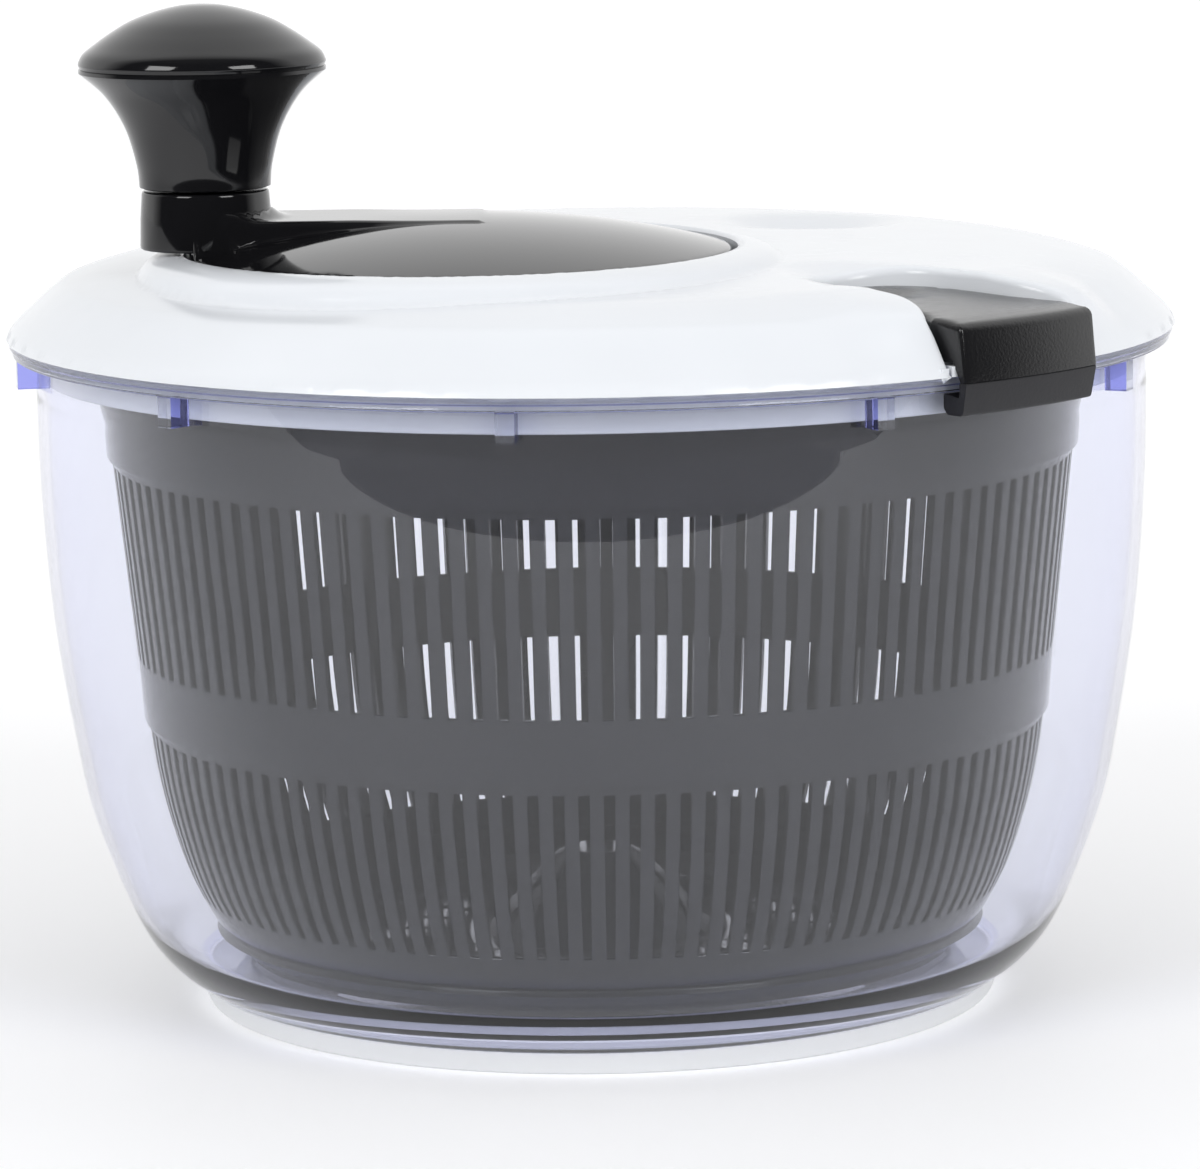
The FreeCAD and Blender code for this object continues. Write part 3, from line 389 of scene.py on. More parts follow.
def make_moulded_group():
    """Roughness and height of a moulded surface: broad flow marks with a fine grain over them."""
    group, enter, leave = new_group(
        "moulded_surface",
        [("Grain scale", "NodeSocketFloat", 900.0), ("Flow scale", "NodeSocketFloat", 14.0),
         ("Roughness", "NodeSocketFloat", 0.3), ("Spread", "NodeSocketFloat", 0.1)],
        [("Roughness", "NodeSocketFloat"), ("Grain", "NodeSocketFloat"), ("Flow", "NodeSocketFloat")])
    add, link = group.nodes.new, group.links.new
    place, grain, flow = add("ShaderNodeTexCoord"), add("ShaderNodeTexNoise"), add("ShaderNodeTexNoise")
    centred, spread, total = (add("ShaderNodeMath") for _ in range(3))
    centred.operation, spread.operation = "SUBTRACT", "MULTIPLY_ADD"
    centred.inputs[1].default_value = 0.5
    grain.inputs["Detail"].default_value = 3.0
    flow.inputs["Detail"].default_value = 4.0
    total.operation, total.use_clamp = "ADD", True
    total.inputs[1].default_value = 0.0
    for noise, scale in ((grain, "Grain scale"), (flow, "Flow scale")):
        link(place.outputs["Object"], noise.inputs["Vector"])
        link(enter.outputs[scale], noise.inputs["Scale"])
    link(flow.outputs["Fac"], centred.inputs[0])
    link(centred.outputs[0], spread.inputs[0])
    link(enter.outputs["Spread"], spread.inputs[1])
    link(enter.outputs["Roughness"], spread.inputs[2])
    link(spread.outputs[0], total.inputs[0])
    link(total.outputs[0], leave.inputs["Roughness"])
    link(grain.outputs["Fac"], leave.inputs["Grain"])
    link(flow.outputs["Fac"], leave.inputs["Flow"])
    return group


def make_scuff_group():
    """Mask of fine hairline scuffs that run mostly one way."""
    group, enter, leave = new_group(
        "hairline_scuffs",
        [("Scale", "NodeSocketFloat", 60.0), ("Stretch", "NodeSocketVector", (1.0, 1.0, 0.08)),
         ("Amount", "NodeSocketFloat", 0.2)],
        [("Mask", "NodeSocketFloat")])
    add, link = group.nodes.new, group.links.new
    place, stretch, noise = add("ShaderNodeTexCoord"), add("ShaderNodeVectorMath"), add("ShaderNodeTexNoise")
    pick, amount = add("ShaderNodeMapRange"), add("ShaderNodeMath")
    stretch.operation, amount.operation = "MULTIPLY", "MULTIPLY"
    noise.inputs["Detail"].default_value = 6.0
    noise.inputs["Roughness"].default_value = 0.7
    pick.inputs["From Min"].default_value = 0.56
    pick.inputs["From Max"].default_value = 0.72
    link(place.outputs["Object"], stretch.inputs[0])
    link(enter.outputs["Stretch"], stretch.inputs[1])
    link(stretch.outputs[0], noise.inputs["Vector"])
    link(enter.outputs["Scale"], noise.inputs["Scale"])
    link(noise.outputs["Fac"], pick.inputs["Value"])
    link(pick.outputs[0], amount.inputs[0])
    link(enter.outputs["Amount"], amount.inputs[1])
    link(amount.outputs[0], leave.inputs["Mask"])
    return group


def make_dust_group():
    """Base colour with a trace of pale dust on upward faces."""
    group, enter, leave = new_group(
        "settled_dust",
        [("Clean", "NodeSocketColor", (0.5, 0.5, 0.5, 1)), ("Dust", "NodeSocketColor", (0.6, 0.58, 0.55, 1)),
         ("Amount", "NodeSocketFloat", 0.05)],
        [("Colour", "NodeSocketColor")])
    add, link = group.nodes.new, group.links.new
    place, noise, shape = add("ShaderNodeTexCoord"), add("ShaderNodeTexNoise"), add("ShaderNodeNewGeometry")
    split, up, times, level, mix = (add(kind) for kind in (
        "ShaderNodeSeparateXYZ", "ShaderNodeMapRange", "ShaderNodeMath", "ShaderNodeMath", "ShaderNodeMix"))
    noise.inputs["Scale"].default_value = 45.0
    noise.inputs["Detail"].default_value = 5.0
    up.inputs["From Min"].default_value = 0.55
    times.operation, level.operation = "MULTIPLY", "MULTIPLY"
    mix.data_type = "RGBA"
    link(place.outputs["Object"], noise.inputs["Vector"])
    link(shape.outputs["Normal"], split.inputs[0])
    link(split.outputs["Z"], up.inputs["Value"])
    link(up.outputs[0], times.inputs[0])
    link(noise.outputs["Fac"], times.inputs[1])
    link(times.outputs[0], level.inputs[0])
    link(enter.outputs["Amount"], level.inputs[1])
    link(level.outputs[0], mix.inputs["Factor"])
    link(enter.outputs["Clean"], mix.inputs["A"])
    link(enter.outputs["Dust"], mix.inputs["B"])
    link(mix.outputs["Result"], leave.inputs["Colour"])
    return group


def make_rim_group():
    """Mask of lines round the bowl's rim, from a height upwards, and of faces that look round the bowl."""
    group, enter, leave = new_group(
        "rim_edges", [("Height", "NodeSocketFloat", 0.14), ("Radius", "NodeSocketFloat", 0.12)],
        [("Mask", "NodeSocketFloat")])
    add, link = group.nodes.new, group.links.new
    place, split, shape = (add(kind) for kind in (
        "ShaderNodeTexCoord", "ShaderNodeSeparateXYZ", "ShaderNodeNewGeometry"))
    flat, span, outward, radial, part = (add("ShaderNodeVectorMath") for _ in range(5))
    rise, above, fold, edge, outside, lines, both, level, side, around, most = (
        add("ShaderNodeMath") for _ in range(11))
    flat.operation, span.operation, outward.operation = "MULTIPLY", "LENGTH", "NORMALIZE"
    radial.operation, part.operation = "DOT_PRODUCT", "MULTIPLY"
    flat.inputs[1].default_value = part.inputs[1].default_value = (1, 1, 0)
    rise.operation, fold.operation, edge.operation = "SUBTRACT", "PINGPONG", "LESS_THAN"
    above.inputs[1].default_value = -0.3 * MM
    fold.inputs[1].default_value = RIM_STEP / 2 * MM
    edge.inputs[1].default_value = RIM_LINE / 2 * MM
    above.operation = outside.operation = "GREATER_THAN"
    lines.operation = both.operation = "MULTIPLY"
    level.operation, side.operation = "ABSOLUTE", "LESS_THAN"
    around.operation, most.operation = "MULTIPLY", "MAXIMUM"
    side.inputs[1].default_value = 0.5
    upright = add("ShaderNodeVectorMath")
    upright.operation = "LENGTH"
    link(place.outputs["Object"], flat.inputs[0])
    link(place.outputs["Object"], split.inputs[0])
    link(flat.outputs[0], span.inputs[0])
    link(flat.outputs[0], outward.inputs[0])
    link(split.outputs["Z"], rise.inputs[0])
    link(enter.outputs["Height"], rise.inputs[1])
    link(rise.outputs[0], above.inputs[0])
    link(rise.outputs[0], fold.inputs[0])
    link(fold.outputs[0], edge.inputs[0])
    link(span.outputs["Value"], outside.inputs[0])
    link(enter.outputs["Radius"], outside.inputs[1])
    link(above.outputs[0], lines.inputs[0])
    link(edge.outputs[0], lines.inputs[1])
    link(lines.outputs[0], both.inputs[0])
    link(outside.outputs[0], both.inputs[1])
    link(shape.outputs["Normal"], part.inputs[0])
    link(part.outputs[0], upright.inputs[0])
    link(part.outputs[0], radial.inputs[0])
    link(outward.outputs[0], radial.inputs[1])
    link(radial.outputs["Value"], level.inputs[0])
    link(level.outputs[0], side.inputs[0])
    link(side.outputs[0], around.inputs[0])
    link(upright.outputs["Value"], around.inputs[1])
    link(both.outputs[0], most.inputs[0])
    link(around.outputs[0], most.inputs[1])
    link(most.outputs[0], leave.inputs["Mask"])
    return group


RIM_EDGES = make_rim_group()
MOULDED = make_moulded_group()
SCUFFS = make_scuff_group()
DUST = make_dust_group()


def new_finish(name, **constants):
    """Material whose constant values sit on the shader's own sockets."""
    material = bpy.data.materials.new(name)
    material.use_nodes = True
    shader = material.node_tree.nodes["Principled BSDF"]
    for label, value in constants.items():
        shader.inputs[label.replace("_", " ")].default_value = value
    return material, material.node_tree, shader


def place_group(tree, group, **values):
    node = tree.nodes.new("ShaderNodeGroup")
    node.node_tree = group
    for label, value in values.items():
        node.inputs[label.replace("_", " ")].default_value = value
    return node


def bump_from(tree, shader, height, strength, distance):
    bump = tree.nodes.new("ShaderNodeBump")
    bump.inputs["Strength"].default_value = strength
    bump.inputs["Distance"].default_value = distance
    tree.links.new(height, bump.inputs["Height"])
    tree.links.new(bump.outputs[0], shader.inputs["Normal"])


def plastic(name, colour, roughness, spread, grain_scale, bump, dust, scuff=0.12, IOR=1.5):
    """Opaque moulded plastic."""
    material, tree, shader = new_finish(name, IOR=IOR)
    link = tree.links.new
    surface = place_group(tree, MOULDED, Grain_scale=grain_scale, Roughness=roughness, Spread=spread)
    scuffs = place_group(tree, SCUFFS, Amount=scuff)
    dusty = place_group(tree, DUST, Clean=(*colour, 1), Amount=dust)
    shade, rough = tree.nodes.new("ShaderNodeMix"), tree.nodes.new("ShaderNodeMath")
    shade.data_type = "RGBA"
    shade.inputs["B"].default_value = (*[min(1.0, c * 1.12 + 0.004) for c in colour], 1)
    rough.operation, rough.use_clamp = "ADD", True
    link(surface.outputs["Flow"], shade.inputs["Factor"])
    link(dusty.outputs["Colour"], shade.inputs["A"])
    link(shade.outputs["Result"], shader.inputs["Base Color"])
    link(surface.outputs["Roughness"], rough.inputs[0])
    link(scuffs.outputs["Mask"], rough.inputs[1])
    link(rough.outputs[0], shader.inputs["Roughness"])
    bump_from(tree, shader, surface.outputs["Grain"], bump, 0.00012)
    return material


def clear_plastic():
    """Clear bowl: violet-blue on its rim, its tabs and wherever it is seen edge on, with faint hairlines."""
    material, tree, shader = new_finish("clear_bowl", Transmission_Weight=1.0, IOR=1.5)
    add, link = tree.nodes.new, tree.links.new
    facing, edge_on, tint, rim_tint = (add(kind) for kind in (
        "ShaderNodeLayerWeight", "ShaderNodeMath", "ShaderNodeMix", "ShaderNodeMix"))
    edge_on.operation = "POWER"
    edge_on.inputs[1].default_value = 4.0
    facing.inputs["Blend"].default_value = 0.5
    tint.data_type = rim_tint.data_type = "RGBA"
    tint.inputs["A"].default_value = (0.875, 0.885, 0.935, 1)
    tint.inputs["B"].default_value = (0.62, 0.64, 0.92, 1)
    rim_tint.inputs["B"].default_value = (0.36, 0.38, 0.86, 1)
    rim = place_group(tree, RIM_EDGES, Height=(SEAM - FLANGE) * MM, Radius=(FLANGE_R - 1.4) * MM)
    surface = place_group(tree, MOULDED, Grain_scale=300.0, Flow_scale=9.0, Roughness=0.012, Spread=0.03)
    scuffs = place_group(tree, SCUFFS, Amount=0.03)
    rough = add("ShaderNodeMath")
    rough.operation, rough.use_clamp = "ADD", True
    link(facing.outputs["Facing"], edge_on.inputs[0])
    link(edge_on.outputs[0], tint.inputs["Factor"])
    link(tint.outputs["Result"], rim_tint.inputs["A"])
    link(rim.outputs["Mask"], rim_tint.inputs["Factor"])
    link(rim_tint.outputs["Result"], shader.inputs["Base Color"])
    link(surface.outputs["Roughness"], rough.inputs[0])
    link(scuffs.outputs["Mask"], rough.inputs[1])
    link(rough.outputs[0], shader.inputs["Roughness"])
    let_lamps_through(tree, shader, (0.86, 0.87, 0.92, 1))
    return material


def let_lamps_through(tree, shader, colour):
    """Let lamps shine through a clear material onto what is behind it."""
    path, clear, pick = (tree.nodes.new(kind) for kind in (
        "ShaderNodeLightPath", "ShaderNodeBsdfTransparent", "ShaderNodeMixShader"))
    clear.inputs["Color"].default_value = colour
    tree.links.new(path.outputs["Is Shadow Ray"], pick.inputs["Fac"])
    tree.links.new(shader.outputs[0], pick.inputs[1])
    tree.links.new(clear.outputs[0], pick.inputs[2])
    tree.links.new(pick.outputs[0], tree.nodes["Material Output"].inputs["Surface"])


def milky_ring():
    material, tree, shader = new_finish("milky_foot", Transmission_Weight=0.2, IOR=1.42)
    surface = place_group(tree, MOULDED, Grain_scale=700.0, Flow_scale=20.0, Roughness=0.42, Spread=0.12)
    dusty = place_group(tree, DUST, Clean=(0.94, 0.95, 0.955, 1), Amount=0.03)
    tree.links.new(dusty.outputs["Colour"], shader.inputs["Base Color"])
    tree.links.new(surface.outputs["Roughness"], shader.inputs["Roughness"])
    bump_from(tree, shader, surface.outputs["Grain"], 0.25, 0.0001)
    return material


def turned_steel():
    """Plated steel with fine marks from turning."""
    material, tree, shader = new_finish("plated_steel", Metallic=1.0)
    link = tree.links.new
    place, rings = tree.nodes.new("ShaderNodeTexCoord"), tree.nodes.new("ShaderNodeTexWave")
    rings.wave_type, rings.bands_direction = "BANDS", "Z"
    rings.inputs["Scale"].default_value = 1800.0
    rings.inputs["Distortion"].default_value = 3.0
    surface = place_group(tree, MOULDED, Grain_scale=1500.0, Flow_scale=60.0, Roughness=0.3, Spread=0.2)
    tone = tree.nodes.new("ShaderNodeMix")
    tone.data_type = "RGBA"
    tone.inputs["A"].default_value = (0.56, 0.57, 0.59, 1)
    tone.inputs["B"].default_value = (0.70, 0.70, 0.71, 1)
    link(place.outputs["Object"], rings.inputs["Vector"])
    link(surface.outputs["Flow"], tone.inputs["Factor"])
    link(tone.outputs["Result"], shader.inputs["Base Color"])
    link(surface.outputs["Roughness"], shader.inputs["Roughness"])
    bump_from(tree, shader, rings.outputs["Fac"], 0.15, 0.00003)
    return material


WHITE = plastic("lid_white", (0.80, 0.825, 0.86), 0.2, 0.08, 900.0, 0.04, dust=0.02, scuff=0.06)
WHITE_INNER = plastic("inner_white", (0.74, 0.76, 0.79), 0.36, 0.1, 800.0, 0.1, dust=0.03)
CHARCOAL = plastic("basket_charcoal", (0.009, 0.0096, 0.0125), 0.08, 0.05, 260.0, 0.04,
                   dust=0.006, scuff=0.05)
GLOSS_BLACK = plastic("crank_gloss_black", (0.004, 0.004, 0.005), 0.07, 0.04, 500.0, 0.015,
                      dust=0.006, scuff=0.03, IOR=1.52)
SATIN_BLACK = plastic("latch_satin_black", (0.006, 0.006, 0.007), 0.2, 0.08, 1600.0, 0.5,
                      dust=0.02, scuff=0.06)
SOFT_BLACK = plastic("hook_soft_black", (0.016, 0.016, 0.019), 0.56, 0.1, 1300.0, 0.6,
                     dust=0.03, scuff=0.05, IOR=1.45)
ACETAL = plastic("natural_acetal", (0.74, 0.73, 0.67), 0.4, 0.1, 600.0, 0.15, dust=0.02, IOR=1.48)
CLEAR = clear_plastic()
MILKY = milky_ring()
STEEL = turned_steel()


# ---------------------------------------------------------------- bowl and foot
def make_bowl():
    shares = [(0.0, 0.0), (0.042, 0.229), (0.114, 0.427), (0.28, 0.686),
              (0.402, 0.793), (0.614, 0.924), (0.833, 0.988), (1.0, 1.0)]
    flange_low = SEAM - FLANGE
    top = flange_low - 9.0
    wall = curve([(FOOT_R + w * (BOWL_R - FOOT_R), FLOOR_Z + up * (top - FLOOR_Z)) for up, w in shares], 7)
    corner = [(FOOT_R + 5.0, FLOOR_Z + 7.6), (FOOT_R - 3.0, FLOOR_Z + 2.6)]
    inner = curve([(r - 2.3, z) for r, z in wall[:13:-7]] + corner, 6)
    step = SEAM - RIM_STEP
    flange = [(BOWL_R, flange_low), (FLANGE_R - 0.6, flange_low), (FLANGE_R - 0.6, step), (FLANGE_R, step),
              (FLANGE_R, SEAM), (BOWL_R - 2.3, SEAM)]
    spike = [(10.0, FLOOR_Z + 2.6), (5.5, 20.0), (3.0, 20.0), (3.0, 26.4), (2.4, 27.0), (0.0, 27.0),
             (0.0, FLOOR_Z)]
    body = lathe(wall + rounded(flange, 0.35) + inner + rounded(spike, 0.5), 256)
    tab = plate([(BOWL_R - 1.0, -2.0), (BOWL_R + 4.5, -2.0), (BOWL_R + 4.5, 2.0), (BOWL_R - 1.0, 2.0)],
                flange_low - 6.5, flange_low + 0.3)
    body_mesh = mesh_of("bowl_body", body)
    finish_mesh(body_mesh, 38)
    tabs = repeated_round("bowl_tabs", tab, 10, 28.6 - 90.0, CLEAR)
    whole = joined_mesh("bowl_clear", [body_mesh, tabs])
    piece("bowl_clear", whole, "bowl", CLEAR, ["bowl"])


def make_foot():
    section = [(79.0, FLOOR_Z - 0.02), (79.0, 0.0), (88.2, 0.0), (90.0, FLOOR_Z - 0.02)]
    piece("foot_milky_ring", lathe(rounded(section, 0.8), 256), "bowl", MILKY, ["foot_ring"])


# ---------------------------------------------------------------- basket
def rib_bar(points, thick, half):
    """Bar that follows (radius, z) points up the basket's wall, with broken edges."""
    edge = 0.25
    rows = []
    for r, z in points:
        back = r - thick
        rows.append([(r, -half + edge, z), (r, half - edge, z), (r - edge, half, z), (back + edge, half, z),
                     (back, half - edge, z), (back, -half + edge, z), (back + edge, -half, z),
                     (r - edge, -half, z)])
    count = len(rows[0])
    faces = []
    for row in range(0, count * (len(rows) - 1), count):
        for k in range(count):
            after = (k + 1) % count
            faces.append([row + k, row + after, row + count + after, row + count + k])
    faces += [list(range(count)), [(len(rows) - 1) * count + k for k in range(count)]]
    return Form([p for row in rows for p in row], faces)


def make_basket():
    band = BASKET_R - 7.1
    knee = band - 1.9
    rim_low = BASKET_TOP - 20.5
    notch_z = BASKET_TOP - 3.0
    slope = (BASKET_R - 2.4 - band) / (rim_low - BAND_HIGH)
    upper_low, upper_high = BAND_HIGH + 1.8, rim_low - 1.8
    shares = [(0.0, 0.0), (0.194, 0.065), (0.422, 0.186), (0.622, 0.344), (0.77, 0.521), (0.905, 0.726),
              (1.0, 1.0)]
    deep, wide = BAND_LOW - BASKET_LOW - 2.9, knee - 78.5
    lower = Profile(sorted((BAND_LOW - deep * down, knee - wide * back) for down, back in shares))

    def upper_r(z):
        return band + slope * (z - BAND_HIGH)

    rim = [(BASKET_R - 0.2, notch_z), (BASKET_R - 1.3, rim_low), (BASKET_R - 2.4, rim_low),
           (upper_r(upper_high), upper_high), (upper_r(upper_high) - 2, upper_high),
           (BASKET_R - 4.4, rim_low), (BASKET_R - 2.4, notch_z)]
    crest = [(BASKET_R, BASKET_TOP), (BASKET_R - 0.2, notch_z), (BASKET_R - 2.4, notch_z),
             (BASKET_R - 2.2, BASKET_TOP)]
    middle = [(upper_r(upper_low), upper_low), (band, BAND_HIGH), (band - 0.9, BAND_LOW), (knee, BAND_LOW),
              (lower(62.4), 62.4), (lower(62.4) - 2, 62.4), (knee - 1.8, BAND_LOW), (band - 2, BAND_HIGH),
              (upper_r(upper_low) - 2, upper_low)]
    heights = [25.6, 23.4, 21.2, 19.0, 17.2]
    corner = [(lower(z), z) for z in heights]
    ridges = [(86.2, 16.2), (85.2, 16.0), (84.2, 14.9), (83.2, 14.7), (81.4, 12.6), (78.5, 12.2),
              (78.5, BASKET_LOW), (76.5, BASKET_LOW), (76.5, 11.4), (73.0, 11.4), (73.0, 13.6), (77.0, 13.8)]
    inner = [(lower(z) - 2.0, z + 0.3) for z in reversed(heights[:-1])]
    forms = lathe(rounded(rim, 0.4), 240) + lathe(rounded(middle, 0.4), 240)
    forms += lathe(rounded(corner + ridges + [(82.4, 18.4)] + inner, 0.35), 240)
    gap = math.degrees((8.0 / 2 + 0.4) / BASKET_R)
    for k in range(6):
        forms += lathe(crest, 28, start=15 + 60 * k + gap, sweep=60 - 2 * gap)
    forms += lathe(rounded([(56.0, 11.4), (56.0, 13.6), (52.0, 13.6), (52.0, 11.4)], 0.4), 144)
    hub = [(33.0, 11.4), (26.6, 11.4), (10.1, 21.7), (5.05, 21.7), (5.05, 28.7), (0.0, 28.7), (0.0, 31.2),
           (7.5, 31.2), (9.6, 30.0), (26.6, 13.6), (33.0, 13.6)]
    forms += lathe(rounded(hub, 0.7), 96)
    body_mesh = mesh_of("basket_body", forms)
    finish_mesh(body_mesh, 35)

    half = (2 * math.pi * 104.2 / SLOTS - UPPER_SLOT) / 2
    upper_bar = rib_bar([(upper_r(z), z) for z in (upper_low - 0.3, upper_high + 0.3)], 2.0, half)
    lower_half = (2 * math.pi * 95.0 / SLOTS - LOWER_SLOT) / 2
    levels = [25.3 + (62.7 - 25.3) * k / 9 for k in range(10)]
    lower_bar = rib_bar([(lower(z), z) for z in levels], 2.0, lower_half)
    phase = SLOT_START + 180.0 / SLOTS
    bars = [repeated_round("basket_upper_ribs", upper_bar, SLOTS, phase, CHARCOAL),
            repeated_round("basket_lower_ribs", lower_bar, SLOTS, phase, CHARCOAL)]
    for name, count, r0, r1 in (("basket_inner_rays", 24, 33.0, 52.0), ("basket_outer_rays", 40, 56.0, 73.0)):
        w0, w1 = (math.pi * r / count - 1.5 for r in (r0, r1))
        ray = plate([(r0 - 0.4, -w0), (r1 + 0.4, -w1), (r1 + 0.4, w1), (r0 - 0.4, w0)], 11.4, 13.6)
        bars.append(repeated_round(name, ray, count, 180.0 / count, CHARCOAL))
    whole = joined_mesh("basket_slotted", [body_mesh] + bars)
    piece("basket_slotted", whole, "basket", CHARCOAL, ["basket"])


# ---------------------------------------------------------------- lid
DOME = Profile([(0.0, CROWN), (0.465 * LID_R, CROWN - 0.5), (0.736 * LID_R, CROWN - 1.5),
                (0.814 * LID_R, CROWN - 2.4), (LID_R - 15.0, SEAM + 13.1), (LID_R - 11.0, SEAM + 11.1),
                (LID_R - 4.5, SEAM + 5.4), (LID_R - 1.1, SEAM + 2.1), (LID_R, SEAM)])
SHOULDER = Profile([(0.0, CROWN), (0.736 * LID_R, CROWN - 1.2), (0.814 * LID_R, CROWN - 1.7),
                    (LID_R - 15.0, SEAM + 15.1), (LID_R - 8.7, SEAM + 13.5), (LID_R - 5.8, SEAM + 11.0),
                    (LID_R - 3.6, SEAM + 7.1), (LID_R - 1.2, SEAM + 2.8), (LID_R, SEAM)])
RIM_Z = SEAM + 20.6
RING = Profile([(WELL_R, RIM_Z - 0.7), (WELL_R + 0.5, RIM_Z - 0.1), (WELL_R + 1.4, RIM_Z),
                (WELL_R + 4.2, RIM_Z - 0.4), (WELL_R + 7.4, RIM_Z - 1.6), (WELL_R + 9.2, RIM_Z - 3.6),
                (WELL_R + 10.0, RIM_Z - 6.0), (WELL_R + 10.5, RIM_Z - 9.0), (WELL_R + 11.4, RIM_Z - 15.0)])
DISH_TURN = math.radians(136.6)
DISH = ((LID_R - 57.0) * math.sin(DISH_TURN), -(LID_R - 57.0) * math.cos(DISH_TURN))


def to_latch(x, y, heading):
    """Radial and sideways distance in a latch's own axes."""
    a = math.radians(heading)
    return x * math.sin(a) - y * math.cos(a), x * math.cos(a) + y * math.sin(a)


def from_latch(u, t, heading):
    a = math.radians(heading)
    return u * math.sin(a) + t * math.cos(a), -u * math.cos(a) + t * math.sin(a)


def lid_height(x, y):
    r = math.hypot(x, y)
    z = DOME(r)
    for heading in LATCHES.values():
        u, t = to_latch(x, y, heading)
        if u < 55:
            continue
        beside = (1 - smoothstep(26.0, 44.0, abs(t))) * smoothstep(86.0, 102.0, r)
        z += (SHOULDER(r) - z) * beside
        away = ((u - PAD_X + 9.0) / 22.0) ** 2 + (t / 17.5) ** 2
        if away < 1:
            z -= 2.6 * (1 - away) ** 2
    dish = math.hypot(x - DISH[0], y - DISH[1]) / 24.0
    if dish < 1:
        z -= 5.0 * (1 - smoothstep(0.0, 1.0, dish))
    dial = math.hypot(x - DIAL[0], y - DIAL[1])
    if dial < WELL_R + 16:
        z = blend_max(z, RING(dial), 2.2)
    return z


def latch_path(grow):
    """Open outline round the thumb pad, from one outer corner to the other, in a latch's own axes."""
    pad, block = 16.0 + grow, LATCH_HALF + grow
    flare = block - pad
    neck = [(PAD_X + 4.0, pad), (HINGE_R - 18.0, pad), (HINGE_R - 12.0, pad + 0.18 * flare),
            (HINGE_R - 7.0, pad + 0.58 * flare), (HINGE_R - 3.6, block)]
    side = curve(neck, 7) + [(HINGE_R + k, block) for k in (-1.5, 0.5, 2.5, 4.5)]
    tip = [(PAD_X + pad * math.cos(a), -pad * math.sin(a))
           for a in (math.radians(90 + 5 * k) for k in range(37))]
    return [(u, -t) for u, t in reversed(side)] + tip + side


def offset_path(path, away):
    """Path shifted to its left by a distance."""
    out = []
    for i, point in enumerate(path):
        a, b = Vector(path[max(0, i - 1)]), Vector(path[min(len(path) - 1, i + 1)])
        along = (b - a).normalized()
        out.append((point[0] - along.y * away, point[1] + along.x * away))
    return out


def thinned(points, taken, gap):
    """Points that keep a distance from those already taken."""
    cells = {}
    for p in taken:
        cells.setdefault((int(p[0] // gap), int(p[1] // gap)), []).append(p)
    kept = []
    for p in points:
        i, j = int(p[0] // gap), int(p[1] // gap)
        near = (q for a in (i - 1, i, i + 1) for b in (j - 1, j, j + 1) for q in cells.get((a, b), ()))
        if all((p[0] - q[0]) ** 2 + (p[1] - q[1]) ** 2 > gap * gap for q in near):
            kept.append(p)
            cells.setdefault((i, j), []).append(p)
    return kept


def edge_drop(distance, radius):
    """How far a rounded edge has fallen at a distance in from its side."""
    if distance >= radius:
        return 0.0
    return radius - math.sqrt(radius ** 2 - (radius - distance) ** 2)


def skin_mesh(name, loops, rows, extra, height, keep, floor_of, wall, sharp):
    """Moulded sheet: a triangulated top, side walls down from its open edges, and an even thickness.

    rows holds (points, drop) for the lines of points beside a rounded edge."""
    fixed = [p for points, _ in rows for p in points]
    drops = [0.0] * sum(len(loop) for loop in loops)
    for points, drop in rows:
        drops += [drop] * len(points)
    drops += [0.0] * len(extra)
    flat, triangles, sources = triangulated(loops, fixed + extra, keep)
    points = []
    for p, given in zip(flat, sources):
        drop = max((drops[i] for i in given), default=0.0)
        points.append(Vector((p.x, p.y, height(p.x, p.y) - drop)))
    used = sorted({i for t in triangles for i in t})
    index = {old: new for new, old in enumerate(used)}
    mesh = mesh_of(name, Form([points[i] for i in used], [[index[i] for i in t] for t in triangles]))
    bm = bmesh.new()
    bm.from_mesh(mesh)
    bmesh.ops.recalc_face_normals(bm, faces=bm.faces)
    if sum(f.normal.z for f in bm.faces) < 0:
        bmesh.ops.reverse_faces(bm, faces=bm.faces)
    edges = []
    for edge in bm.edges:
        if edge.is_boundary:
            floors = [floor_of(v.co.x / MM, v.co.y / MM) for v in edge.verts]
            if None not in floors:
                edges.append(edge)
    new = bmesh.ops.extrude_edge_only(bm, edges=edges)["geom"]
    for vert in (g for g in new if isinstance(g, bmesh.types.BMVert)):
        vert.co.z = floor_of(vert.co.x / MM, vert.co.y / MM) * MM
    bmesh.ops.recalc_face_normals(bm, faces=bm.faces)
    tops = [f for f in bm.faces if abs(f.normal.z) > 0.5]
    if sum(f.normal.z for f in tops) < 0:
        bmesh.ops.reverse_faces(bm, faces=bm.faces)
    bm.to_mesh(mesh)
    bm.free()
    made = bpy.data.objects.new(name, mesh)
    bpy.context.scene.collection.objects.link(made)
    thick = made.modifiers.new("wall", "SOLIDIFY")
    thick.thickness, thick.offset, thick.use_even_offset = wall * MM, -1.0, False
    evaluated = made.evaluated_get(bpy.context.evaluated_depsgraph_get())
    plain = bpy.data.meshes.new_from_object(evaluated)
    bpy.data.objects.remove(made)
    plain.shade_smooth()
    plain.set_sharp_from_angle(angle=math.radians(sharp))
    return plain


EDGE_STEPS = (0.0, 0.12, 0.35, 0.7, 1.15, 1.7)


